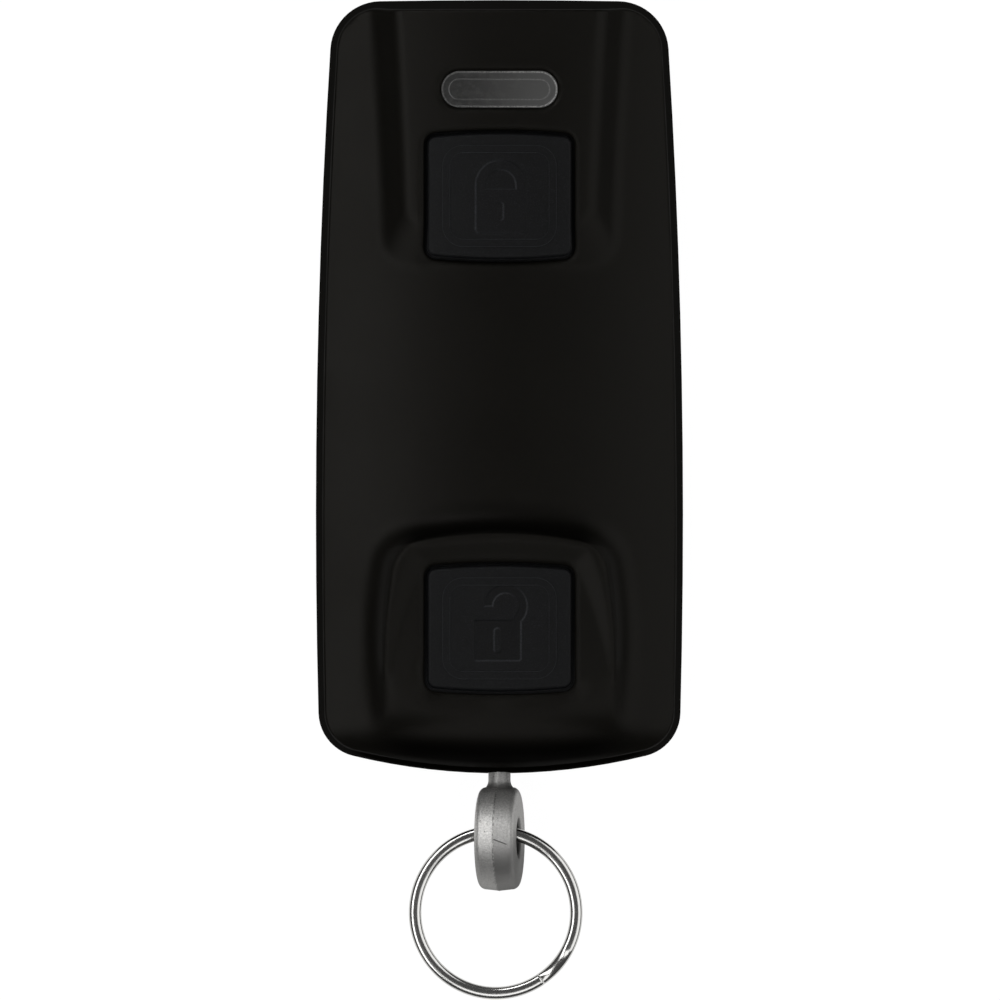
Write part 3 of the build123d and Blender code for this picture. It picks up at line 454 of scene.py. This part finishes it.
def piece_of(name, points, faces, material, marks=None):
    """Closed, smooth-shaded object with its seams merged and its faces outwards."""
    merge_distance, sharp_angle = 1e-7, radians(50)
    mesh = bpy.data.meshes.new(name)
    mesh.from_pydata((points * MM).tolist(), [], faces)
    for key, values in (marks or {}).items():
        layer = mesh.attributes.new(key, "FLOAT", "POINT")
        layer.data.foreach_set("value", values.astype(np.float32).ravel())
    shell = bmesh.new()
    shell.from_mesh(mesh)
    bmesh.ops.remove_doubles(shell, verts=shell.verts, dist=merge_distance)
    bmesh.ops.recalc_face_normals(shell, faces=shell.faces)
    if shell.calc_volume(signed=True) < 0:
        bmesh.ops.reverse_faces(shell, faces=shell.faces)
    shell.to_mesh(mesh)
    shell.free()
    mesh.shade_smooth()
    mesh.set_sharp_from_angle(angle=sharp_angle)
    mesh.materials.append(material)
    piece = bpy.data.objects.new(name, mesh)
    bpy.context.scene.collection.objects.link(piece)
    return piece


def crown_height(x, y, top, across_radius, crest, along_radius):
    """Height of a skin crowned both ways: an arc along Y turned about an axis under it."""
    radius = across_radius - (along_radius - np.sqrt(along_radius**2 - (y - crest) ** 2))
    return top - across_radius + np.sqrt(radius**2 - x**2)


def box_distance(x, y, half_width, half_length, corner):
    """Signed distance to a rounded rectangle round the origin, below 0 inside it."""
    over_x = np.abs(x) - half_width + corner
    over_y = np.abs(y) - half_length + corner
    outside = np.hypot(np.maximum(over_x, 0), np.maximum(over_y, 0))
    return outside + np.minimum(np.maximum(over_x, over_y), 0) - corner


def smooth_step(values, low, high):
    """0 below low, 1 above high and a smooth cubic between."""
    share = np.clip((values - low) / (high - low), 0, 1)
    return share * share * (3 - 2 * share)


def padlock(x, y, size, arch):
    """Signed distance to a padlock: its body joined with an arch, less a pill for its keyhole."""
    body = box_distance(x, y, size.body_width / 2, size.body_length / 2, size.corner)
    slot = np.hypot(x, np.maximum(np.abs(y) - size.slot_length / 2, 0)) - size.slot_width / 2
    return np.maximum(np.minimum(body, arch), -slot)


def closed_lock(x, y, size):
    """Signed distance to a shut padlock, from its body's middle.

    The arch is a band round a half circle on straight legs, which end inside the body.
    """
    foot = size.body_length / 2
    rise = np.maximum(y - foot - size.arch_leg, 0)
    arch = np.abs(np.hypot(x, rise) - size.arch_radius) - size.arch_band / 2
    return padlock(x, y, size, np.maximum(arch, foot - 2 * size.corner - y))


def open_lock(x, y, size):
    """Signed distance to an open padlock, from its body's middle.

    The arch is a band round a circle above the body and to the right, without the part that is
    both left of its shift and below its middle.
    """
    arch_x, arch_y = x - size.arch_shift, y - size.body_length / 2 - size.arch_leg
    arch = np.abs(np.hypot(arch_x, arch_y) - size.arch_radius) - size.arch_band / 2
    arch = np.maximum(arch, -np.maximum(arch_x - size.arch_shift, arch_y))
    return padlock(x, y, size, arch)


def key_field(name, body, place, crown, sign, size, material):
    """Field inside a key's raised frame, with its sign.

    Its height over the key's crown is a small constant, plus the relief times a smooth step of
    the distance from the sign's edge, plus a bell-shaped ridge along that edge. The border of
    the grid drops into the key. The sign's edges carry a painted highlight, stronger on one side,
    and a sunk sign's upper edges get one too. A sunk sign's floor is marked for painted shade.
    """
    step, half_width, half_length = 0.045, 4.6, 4.02
    proud, ridge_rise, ridge_width, border_drop = 0.07, 0.012, 0.075, 0.3
    across = np.arange(-half_width, half_width + step, step)
    along = np.arange(-half_length, half_length + step, step)
    x, y = np.meshgrid(across, along, indexing="ij")
    distance = sign(x - size.across, y - size.along, size)
    inside = 1 - smooth_step(distance, -0.07, 0.05)
    ridge = np.exp(-((distance + 0.01) / ridge_width) ** 2)
    height = proud + size.relief * inside + ridge_rise * ridge
    height[[0, -1], :] -= border_drop
    height[1:-1, [0, -1]] -= border_drop
    points = np.stack([x, y + place, crown_height(x, y + place, *crown) + height], axis=-1)

    slope_x, slope_y = np.gradient(distance, step)
    sunk = size.relief < 0
    # Painted highlight along the sign's edges, strongest on one side and on a sunk sign's upper
    # edges; the floor mark is painted shade in a sunk sign
    highlight_share = np.clip(0.3 - size.rubbed_left * slope_x - 0.45 * slope_y * sunk, 0, 1)
    marks = {"line": ridge * highlight_share, "floor": inside * sunk}
    index = np.arange(x.size).reshape(x.shape)
    border = np.concatenate([index[0], index[1:, -1], index[-1, -2::-1], index[-2:0:-1, 0]])
    faces = quads(index) + [border.tolist()]
    piece = piece_of(name, points.reshape(-1, 3), faces, material, marks)
    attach(piece, body)
    return piece


def spread(count, low, high, power=1.0):
    """Numbers between two ends: even, or crowded towards the second by a power under 1."""
    return low + (high - low) * np.linspace(0, 1, count) ** power


def split_ring(name, size, material):
    """Split ring of two turns.

    Its middle line is a circle walked nearly twice round. Its height is one layer, then half
    a cosine down to the other layer, then that layer. The section carried along it is a
    superellipse, drawn in at the two cut ends. The walk is in degrees.
    """
    taper, step, end_share = 1.6, 0.9, 0.72
    cut, crossing = np.degrees([size.cut, size.crossing])
    turn = 360 - crossing
    whole = 2 * turn + crossing
    end = spread(5, 0, taper, 0.5)
    walk = np.concatenate([end, np.arange(taper + 0.8, whole - 2, step), whole - end[::-1]])
    direction = np.radians(cut + 360 - walk)[:, None]
    level = np.cos(pi * np.clip((walk - turn) / crossing, 0, 1)) * (size.height + size.gap) / 2
    from_end = np.minimum(walk, whole - walk)
    draw_in = end_share + (1 - end_share) * np.sqrt(np.clip(from_end / taper, 0, 1))[:, None]
    around = np.linspace(0, 2 * pi, 40, endpoint=False)[None, :]
    power = 2 / size.squareness
    wide = np.sign(np.cos(around)) * np.abs(np.cos(around)) ** power * size.width / 2
    tall = np.sign(np.sin(around)) * np.abs(np.sin(around)) ** power * size.height / 2
    reach = (size.diameter - size.width) / 2 + wide * draw_in
    rise = level[:, None] + tall * draw_in
    points = np.stack([reach * np.cos(direction), reach * np.sin(direction), rise], axis=-1)
    points += size.centre
    piece = surface(name, points, material, wrap=(False, True), caps=(True, True))
    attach(piece, "key_ring")
    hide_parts("split_ring")
    return piece


def eye_casting(name, size, material):
    """Die-cast eye: a closed profile turned about the axis of its hole.

    The rim falls from the seam by its draft on both sides, quarter circles round it into the
    flat faces and into the hole, and the seam is a bell-shaped line whose height wanders. The
    profile is a row of places across the eye with their distances out from the axis.
    """
    seam_strip, seam_width, seam_shadow = 0.3, 0.055, 0.09
    half, edge, hole_edge = size.thickness / 2, size.edge, size.hole_edge
    radius, hole = size.diameter / 2 - size.seam, size.hole / 2
    fall = np.tan(size.draft)
    rim_end = radius - (half - edge) * fall
    sine, cosine = np.sin(spread(9, 0, pi / 2))[1:], np.cos(spread(9, 0, pi / 2))[1:]
    rim = np.concatenate([spread(12, 0, seam_strip), spread(8, 0.42, half - edge)])
    across = np.concatenate([
        rim,
        half - edge + edge * sine,
        np.full(6, half),
        half - hole_edge + hole_edge * cosine,
        spread(6, half - hole_edge, 0)[1:],
    ])
    out = np.concatenate([
        radius - rim * fall,
        rim_end - edge + edge * cosine,
        spread(8, rim_end - edge, hole + hole_edge)[1:-1],
        hole + hole_edge - hole_edge * sine,
        np.full(5, hole),
    ])
    across = np.concatenate([across, -across[-2:0:-1]])
    out = np.concatenate([out, out[-2:0:-1]])
    around = np.linspace(0, 2 * pi, 220, endpoint=False)[:, None]
    wander = 0.65 + 0.2 * np.sin(17 * around + 1) + 0.15 * np.sin(41 * around)
    on_rim = out > hole + 1
    reach = out + size.seam * np.exp(-((across / seam_width) ** 2)) * on_rim * wander
    axis = np.array([cos(size.turn), 0, sin(size.turn)])
    upward = np.array([-sin(size.turn), 0, cos(size.turn)])
    towards_case = np.array([0.0, 1.0, 0.0])
    points = (
        np.array(size.centre)
        + across[None, :, None] * axis
        + (reach * np.cos(around))[..., None] * towards_case
        + (reach * np.sin(around))[..., None] * upward
    )
    # The side mark picks the half that faces right for the finish's painted shade, and the shade
    # mark is painted shade into the hole
    marks = {
        "seam": np.exp(-((across / seam_shadow) ** 2)) * on_rim,
        "side": smooth_step(across, -0.05, 0.15),
        "shade": 1 - smooth_step(out, hole + 0.05, hole + 0.3),
    }
    marks = {key: np.broadcast_to(values, reach.shape) for key, values in marks.items()}
    piece = surface(name, points, material, wrap=(True, True), marks=marks)
    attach(piece, "swivel")
    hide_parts("swivel_eye")
    return piece


def eye_shank(name, size, material):
    """Shank of the eye: a profile of places along Y and radii, turned about the shank's axis.

    It starts inside the casting and narrows by a power of the way along the neck, and has the
    clip's groove and a bevelled tip.
    """
    rim, shank, groove = size.centre[1] + size.diameter / 2, size.shank / 2, size.groove / 2
    flare, bevel, shade = 0.3, 0.3, 0.6
    way = np.linspace(0, 1, 10)
    neck = np.stack([rim - 0.25 + size.neck * way, shank + flare * (1 - way) ** 2.2], axis=1)
    profile = np.concatenate([
        [(rim - 0.9, shank + 0.4), (rim - 0.35, shank + 0.36)],
        neck,
        [(size.groove_start, shank), (size.groove_start, groove)],
        [(size.groove_end, groove), (size.groove_end, shank)],
        [(size.end - bevel, shank), (size.end, shank - bevel)],
    ])
    place, radius = profile[:, :1], profile[:, 1:]
    around = np.linspace(0, 2 * pi, 56, endpoint=False)[None, :]
    x, z = radius * np.cos(around), size.centre[2] + radius * np.sin(around)
    points = np.stack([x, np.broadcast_to(place, x.shape), z], axis=-1)
    # The side mark picks the half that faces right for painted shade, and the shade mark is painted
    # shade over the whole shank
    marks = {
        "seam": np.zeros(x.shape),
        "side": smooth_step(x, -0.2, 0.2),
        "shade": np.full(x.shape, shade),
    }
    piece = surface(name, points, material, wrap=(False, True), caps=(True, True), marks=marks)
    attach(piece, "swivel")
    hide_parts("swivel_eye")
    return piece


def window_lens(name, size, crown, material):
    """Face of the status window.

    A profile of heights over the pad's skin is carried round a pill-shaped path. Its rows shrink
    from the pill's edge to its middle line. Two low bell-shaped ridges run along the edge and
    round the inner field, and outside them the height falls off steeply.
    """
    proud, rim_rise, field_rise, sunk_edge = 0.012, 0.045, 0.022, -0.35
    rim_width, field_width, fall_width = 0.07, 0.05, 0.02
    edge = size.width / 2
    reach = np.concatenate([[edge, edge], spread(26, edge - 0.01, 0.8), spread(5, 0.7, 0.0)])
    rim = np.exp(-((reach - edge + 0.1) / rim_width) ** 2)
    field = np.exp(-((reach - size.field / 2) / field_width) ** 2)
    fall = np.exp((reach - edge) / fall_width)
    height = proud + rim_rise * rim + field_rise * field - 0.05 * fall
    height[0] = sunk_edge
    reach, height = reach[:, None], height[:, None]

    half, count = size.length / 2 - edge, 40
    bend = np.linspace(-pi / 2, pi / 2, count)
    run = np.linspace(half, -half, count)[1:-1]
    middle = np.concatenate([np.full(count, half), run, np.full(count, -half), -run])
    straight = np.full(count - 2, pi / 2)
    turn = np.concatenate([bend, straight, bend + pi, straight + pi])
    x = middle + reach * np.cos(turn)
    y = size.place + reach * np.sin(turn)
    points = np.stack([x, y, crown_height(x, y, *crown) + height], axis=-1)
    # The line mark carries the rims' painted highlight to the finish
    marks = {"line": np.broadcast_to((0.9 * rim + 0.22 * field)[:, None], x.shape)}
    piece = surface(name, points, material, wrap=(False, True), caps=(True, False), marks=marks)
    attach(piece, "housing")
    return piece


def number(name, description, default, **more):
    """A number for the sidebar."""
    return bpy.props.FloatProperty(name=name, description=description, default=default, **more)


def length(name, description, default):
    """A length for the sidebar, given in millimetres and kept in metres."""
    return number(name, description, default * MM, unit="LENGTH", precision=5)


def angle(name, description, default):
    """An angle for the sidebar, given in degrees and kept in radians."""
    return number(name, description, radians(default), unit="ROTATION")


def paint(name, description, default):
    """A linear colour for the sidebar."""
    return bpy.props.FloatVectorProperty(
        name=name, description=description, default=default, subtype="COLOR", min=0, max=1
    )


def in_millimetres(group, **more):
    """A group's lengths in millimetres, as plain names."""
    sizes = {}
    for key in type(group).__annotations__:
        value = getattr(group, key)
        sizes[key] = value / MM if group.bl_rna.properties[key].unit == "LENGTH" else value
    return SimpleNamespace(**sizes, **more)


def check_height(node):
    """Stop if a packed piece's middle isn't on the parting line, where its meshes are made."""
    low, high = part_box(node)
    if abs((low[2] + high[2]) / 2 - PARTING * MM) > 0.1 * MM:
        raise RuntimeError(f"{node} has left the parting line")


class RemoteColours(bpy.types.PropertyGroup):
    """Colours of the finishes"""

    cover: paint("Cover", "Moulded covers and battery door", (0.0030, 0.0027, 0.0020))
    key: paint("Keys", "Key caps", (0.0038, 0.0040, 0.0044))
    window: paint("Window", "Smoked lens of the status window", (0.05, 0.05, 0.049))
    casting: paint("Casting", "Nickel of the swivel eye", (0.92, 0.91, 0.89))
    ring: paint("Ring", "Nickel of the split ring", (0.62, 0.615, 0.60))
    lacquer: paint("Board", "Lacquer of the circuit board", (0.01, 0.09, 0.04))
    copper: paint("Tracks", "Lacquered copper tracks", (0.05, 0.22, 0.08))


class ShutSign(bpy.types.PropertyGroup):
    """Padlock on the key that locks"""

    body_width: length("Body width", "Width of the padlock's body", 4.63)
    body_length: length("Body length", "Height of the padlock's body", 4.11)
    corner: length("Corner", "Corner radius of the body", 0.4)
    arch_radius: length("Arch radius", "Middle line of the arch", 1.86)
    arch_band: length("Arch band", "Width of the arch", 0.91)
    arch_leg: length("Arch leg", "Straight part of the arch", 0.35)
    slot_length: length("Slot length", "Straight part of the keyhole", 1.1)
    slot_width: length("Slot width", "Width of the keyhole", 0.5)
    across: length("Across", "Body's middle to the right of the key's", 0.1)
    along: length("Along", "Body's middle above the key's", -1.41)
    relief: length("Relief", "Height of the sign over its field", 0.07)
    # Painted highlight along the sign's left edges, or below 0 along its right ones
    rubbed_left: number("Highlight", "Painted highlight of the left edges, or below 0 of the right", 0.6)


class OpenSign(bpy.types.PropertyGroup):
    """Padlock on the key that unlocks"""

    body_width: length("Body width", "Width of the padlock's body", 4.35)
    body_length: length("Body length", "Height of the padlock's body", 3.78)
    corner: length("Corner", "Corner radius of the body", 0.25)
    arch_radius: length("Arch radius", "Middle line of the arch", 1.6)
    arch_band: length("Arch band", "Width of the arch", 0.79)
    arch_leg: length("Arch leg", "Arch's middle above the body", 1.26)
    arch_shift: length("Arch shift", "Arch to the right of the body's middle", 0.76)
    slot_length: length("Slot length", "Straight part of the keyhole", 1.65)
    slot_width: length("Slot width", "Width of the keyhole", 0.62)
    across: length("Across", "Body's middle to the right of the key's", -0.18)
    along: length("Along", "Body's middle above the key's", -1.11)
    relief: length("Relief", "Height of the sign over its field", -0.06)
    # Painted highlight along the sign's left edges, or below 0 along its right ones
    rubbed_left: number("Highlight", "Painted highlight of the left edges, or below 0 of the right", -0.6)


class LensSizes(bpy.types.PropertyGroup):
    """Status window"""

    length: length("Length", "Length of the lens", 10.78)
    width: length("Width", "Width of the lens", 3.41)
    field: length("Field", "Width of the field inside the fine ridge", 1.86)
    place: length("Place", "Middle of the lens along Y", 27.42)


class EyeSizes(bpy.types.PropertyGroup):
    """Swivel eye"""

    diameter: length("Diameter", "Across the casting at its seam", 9.8)
    thickness: length("Thickness", "Between its flat faces", 3.66)
    hole: length("Hole", "Diameter of the hole", 3.5)
    edge: length("Edge", "Rounding of the rim", 0.62)
    hole_edge: length("Hole edge", "Rounding of the hole", 0.3)
    seam: length("Seam", "Height of the parting line", 0.03)
    shank: length("Shank", "Diameter of the shank", 2.05)
    neck: length("Neck", "Length of the blend from rim to shank", 0.75)
    groove: length("Groove", "Diameter of the clip's groove", 1.3)
    groove_start: length("Groove start", "Outer end of the groove along Y", -33.54)
    groove_end: length("Groove end", "Inner end of the groove along Y", -32.96)
    end: length("Shank end", "Inner end of the shank along Y", -31.5)
    draft: angle("Draft", "Slope of the rim away from its seam", 6.5)
    turn: angle("Turn", "How far the eye has swivelled", 7.4)


class RingSizes(bpy.types.PropertyGroup):
    """Split ring"""

    diameter: length("Diameter", "Outside of the ring", 16.1)
    width: length("Wire width", "Width of the flat wire", 1.18)
    height: length("Wire height", "Height of the flat wire", 0.92)
    gap: length("Gap", "Between the two turns", 0.06)
    cut: angle("Cut", "Direction of the upper turn's end", -55.0)
    crossing: angle("Crossing", "Angle over which one turn crosses to the other", 29.0)
    squareness: number("Squareness", "2 is an oval wire and 4 a nearly square one", 2.45)


class StageSizes(bpy.types.PropertyGroup):
    """Camera and floor"""

    camera_height: length("Camera height", "Lens above the parting line", 2572.0)
    focal_length: number("Lens", "Focal length", 1000.0, unit="CAMERA")
    floor: paint("Floor", "Colour of the floor", (0.82, 0.82, 0.82))


class REMOTE_OT_covers(bpy.types.Operator):
    """Dress the two covers and the battery door"""

    bl_idname = "remote.covers"
    bl_label = "Covers"

    def execute(self, context):
        cover = cover_finish(context.scene.remote_colours.cover)
        dress(cover, "front_cover", "rear_cover", "battery_door")
        return {"FINISHED"}


class REMOTE_OT_keys(bpy.types.Operator):
    """Dress the keys and make the fields with their padlocks"""

    bl_idname = "remote.keys"
    bl_label = "Keys"

    def execute(self, context):
        scene = context.scene
        key = key_finish(scene.remote_colours.key)
        dress(key, "lock_button", "unlock_button")
        shut = in_millimetres(scene.remote_shut_sign)
        key_field("lock_field", "lock_key", LOCK_PLACE, LOCK_CROWN, closed_lock, shut, key)
        swung = in_millimetres(scene.remote_open_sign)
        key_field("unlock_field", "unlock_key", UNLOCK_PLACE, UNLOCK_CROWN, open_lock, swung, key)
        return {"FINISHED"}


class REMOTE_OT_window(bpy.types.Operator):
    """Dress the status window and make its face"""

    bl_idname = "remote.window"
    bl_label = "Status window"

    def execute(self, context):
        scene = context.scene
        size = in_millimetres(scene.remote_lens)
        smoked = window_finish(scene.remote_colours.window)
        dress(smoked, "status_window")
        window_lens("window_lens", size, PAD_CROWN, smoked)
        return {"FINISHED"}


class REMOTE_OT_eye(bpy.types.Operator):
    """Make the swivel eye with its shank"""

    bl_idname = "remote.eye"
    bl_label = "Swivel eye"

    def execute(self, context):
        scene = context.scene
        check_height("swivel_eye")
        size = in_millimetres(scene.remote_eye, centre=(0.0, -41.81, PARTING))
        nickel = casting_finish(scene.remote_colours.casting)
        eye_casting("eye_casting", size, nickel)
        eye_shank("eye_shank", size, nickel)
        return {"FINISHED"}


class REMOTE_OT_ring(bpy.types.Operator):
    """Make the split ring"""

    bl_idname = "remote.ring"
    bl_label = "Split ring"

    def execute(self, context):
        scene = context.scene
        check_height("split_ring")
        size = in_millimetres(scene.remote_ring, centre=(-0.35, -48.69, PARTING))
        nickel = metal_finish(
            "ring_nickel", scene.remote_colours.ring, roughness=0.17, grain=2600, relief=0.002 * MM
        )
        split_ring("ring_coil", size, nickel)
        return {"FINISHED"}


class REMOTE_OT_inside(bpy.types.Operator):
    """Dress the screws and everything inside the case"""

    bl_idname = "remote.inside"
    bl_label = "Screws and inside"

    def execute(self, context):
        colours = context.scene.remote_colours
        # Kind, colour, roughness, grain in cells per metre, relief, and the pieces made of it
        finishes = {
            "screw_steel": (
                metal_finish, (0.10, 0.10, 0.105), 0.34, 5000, 0.004 * MM,
                ("case_screws", "battery_door_screw"),
            ),
            "spring_steel": (
                metal_finish, (0.52, 0.51, 0.49), 0.28, 4000, 0.003 * MM,
                ("lock_switch_frame", "unlock_switch_frame", "lock_switch_dome",
                 "unlock_switch_dome", "positive_contact", "negative_contact", "swivel_washer",
                 "swivel_clip"),
            ),
            "can_steel": (
                metal_finish, (0.6, 0.59, 0.57), 0.22, 3000, 0.002 * MM, ("coin_cell", "crystal")
            ),
            "switch_plastic": (
                plastic_finish, (0.02, 0.02, 0.021), 0.5, 6000, 0.003 * MM,
                ("lock_switch_base", "unlock_switch_base", "lock_switch_plunger",
                 "unlock_switch_plunger", "cell_holder"),
            ),
            "chip_plastic": (
                plastic_finish, (0.018, 0.018, 0.018), 0.6, 9000, 0.006 * MM,
                ("radio_chip", "chip_components"),
            ),
            "antenna_ceramic": (
                plastic_finish, (0.68, 0.66, 0.6), 0.25, 6000, 0.003 * MM, ("chip_antenna",)
            ),
            "lamp_plastic": (
                plastic_finish, (0.7, 0.69, 0.62), 0.2, 6000, 0.003 * MM, ("status_lamp",)
            ),
            "guide_plastic": (
                plastic_finish, (0.72, 0.74, 0.75), 0.15, 6000, 0.003 * MM, ("light_guide",)
            ),
        }
        for name, (kind, tint, roughness, grain, relief, nodes) in finishes.items():
            dress(kind(name, tint, roughness, grain, relief), *nodes)
        dress(board_finish(colours.lacquer, colours.copper), "circuit_board")
        return {"FINISHED"}


class REMOTE_OT_stage(bpy.types.Operator):
    """Set up the floor, the lamps and the camera"""

    bl_idname = "remote.stage"
    bl_label = "Stage"

    def execute(self, context):
        scene = context.scene
        settings = scene.remote_stage
        scene.view_settings.view_transform = "Standard"

        side = 1.5
        floor = bpy.data.objects.new("floor", bpy.data.meshes.new("floor"))
        corners = [(-side, -side, 0), (side, -side, 0), (side, side, 0), (-side, side, 0)]
        floor.data.from_pydata(corners, [], [(0, 1, 2, 3)])
        scene.collection.objects.link(floor)
        # The floor glows for rays that show it, and keeps a tenth of its shaded paper there
        finish = Finish("paper")
        seen = (
            finish.add("ShaderNodeLightPath", {}, {}, "Is Camera Ray")
            + finish.add("ShaderNodeLightPath", {}, {}, "Is Glossy Ray")
            + finish.add("ShaderNodeLightPath", {}, {}, "Is Transmission Ray")
        )
        paper = finish.add("ShaderNodeBsdfDiffuse", {}, {"Color": colour(settings.floor)})
        glow = finish.add("ShaderNodeEmission", {}, {"Color": (1, 1, 1, 1), "Strength": 1.08})
        both = finish.add("ShaderNodeMixShader", {}, [seen * 0.9, paper, glow])
        floor.data.materials.append(finish.end(both))

        # Long softboxes left and right of a dark gap over the case, and a small one at either
        # end: place, turn about X and Y in degrees, width, length and power
        lamps = {
            "lamp_left": ((-0.28, 0.06, 0.52), (0, -29), 0.2, 0.78, 1.5),
            "lamp_right": ((0.42, 0.06, 0.48), (0, 41), 0.5, 0.78, 1.7),
            "lamp_front": ((0.02, -0.26, 0.56), (25, 2), 0.3, 0.22, 0.35),
            "lamp_back": ((-0.12, 0.4, 0.5), (-41, -13), 0.16, 0.12, 0.42),
        }
        for name, (place, turn, width, depth, power) in lamps.items():
            lamp = bpy.data.lights.new(name, "AREA")
            lamp.shape = "RECTANGLE"
            lamp.size, lamp.size_y = width, depth
            lamp.energy = power
            holder = bpy.data.objects.new(name, lamp)
            holder.location = place
            holder.rotation_euler = (radians(turn[0]), radians(turn[1]), 0)
            scene.collection.objects.link(holder)

        world = bpy.data.worlds.new("room")
        world.use_nodes = True
        background = world.node_tree.nodes["Background"]
        background.inputs["Color"].default_value = (1, 1, 1, 1)
        background.inputs["Strength"].default_value = 0.07
        scene.world = world

        camera = bpy.data.cameras.new("camera")
        camera.lens = settings.focal_length
        camera.sensor_width = 36.0
        camera.clip_start = 0.01
        holder = bpy.data.objects.new("camera", camera)
        x, y = PHOTO_MIDDLE
        holder.location = (x * MM, y * MM, PARTING * MM + settings.camera_height)
        scene.collection.objects.link(holder)
        scene.camera = holder
        return {"FINISHED"}


class REMOTE_PT_sidebar(bpy.types.Panel):
    """The remote's pieces and their settings"""

    bl_idname = "REMOTE_PT_sidebar"
    bl_label = "Door lock remote"
    bl_space_type = "VIEW_3D"
    bl_region_type = "UI"
    bl_category = "Remote"

    def draw(self, context):
        for operator in OPERATORS:
            self.layout.operator(operator.bl_idname)
        for name, group in GROUPS.items():
            self.layout.label(text=group.__doc__)
            settings = getattr(context.scene, name)
            for key in group.__annotations__:
                self.layout.prop(settings, key)


GROUPS = {
    "remote_colours": RemoteColours,
    "remote_shut_sign": ShutSign,
    "remote_open_sign": OpenSign,
    "remote_lens": LensSizes,
    "remote_eye": EyeSizes,
    "remote_ring": RingSizes,
    "remote_stage": StageSizes,
}
OPERATORS = (
    REMOTE_OT_covers,
    REMOTE_OT_keys,
    REMOTE_OT_window,
    REMOTE_OT_eye,
    REMOTE_OT_ring,
    REMOTE_OT_inside,
    REMOTE_OT_stage,
)


def register():
    for item in (*GROUPS.values(), *OPERATORS, REMOTE_PT_sidebar):
        bpy.utils.register_class(item)
    for name, group in GROUPS.items():
        setattr(bpy.types.Scene, name, bpy.props.PointerProperty(type=group))


def unregister():
    for name in GROUPS:
        delattr(bpy.types.Scene, name)
    for item in (REMOTE_PT_sidebar, *reversed(OPERATORS), *reversed(GROUPS.values())):
        bpy.utils.unregister_class(item)


def main():
    register()
    bpy.ops.remote.covers()
    bpy.ops.remote.keys()
    bpy.ops.remote.window()
    bpy.ops.remote.eye()
    bpy.ops.remote.ring()
    bpy.ops.remote.inside()
    bpy.ops.remote.stage()


if __name__ == "__main__":
    main()
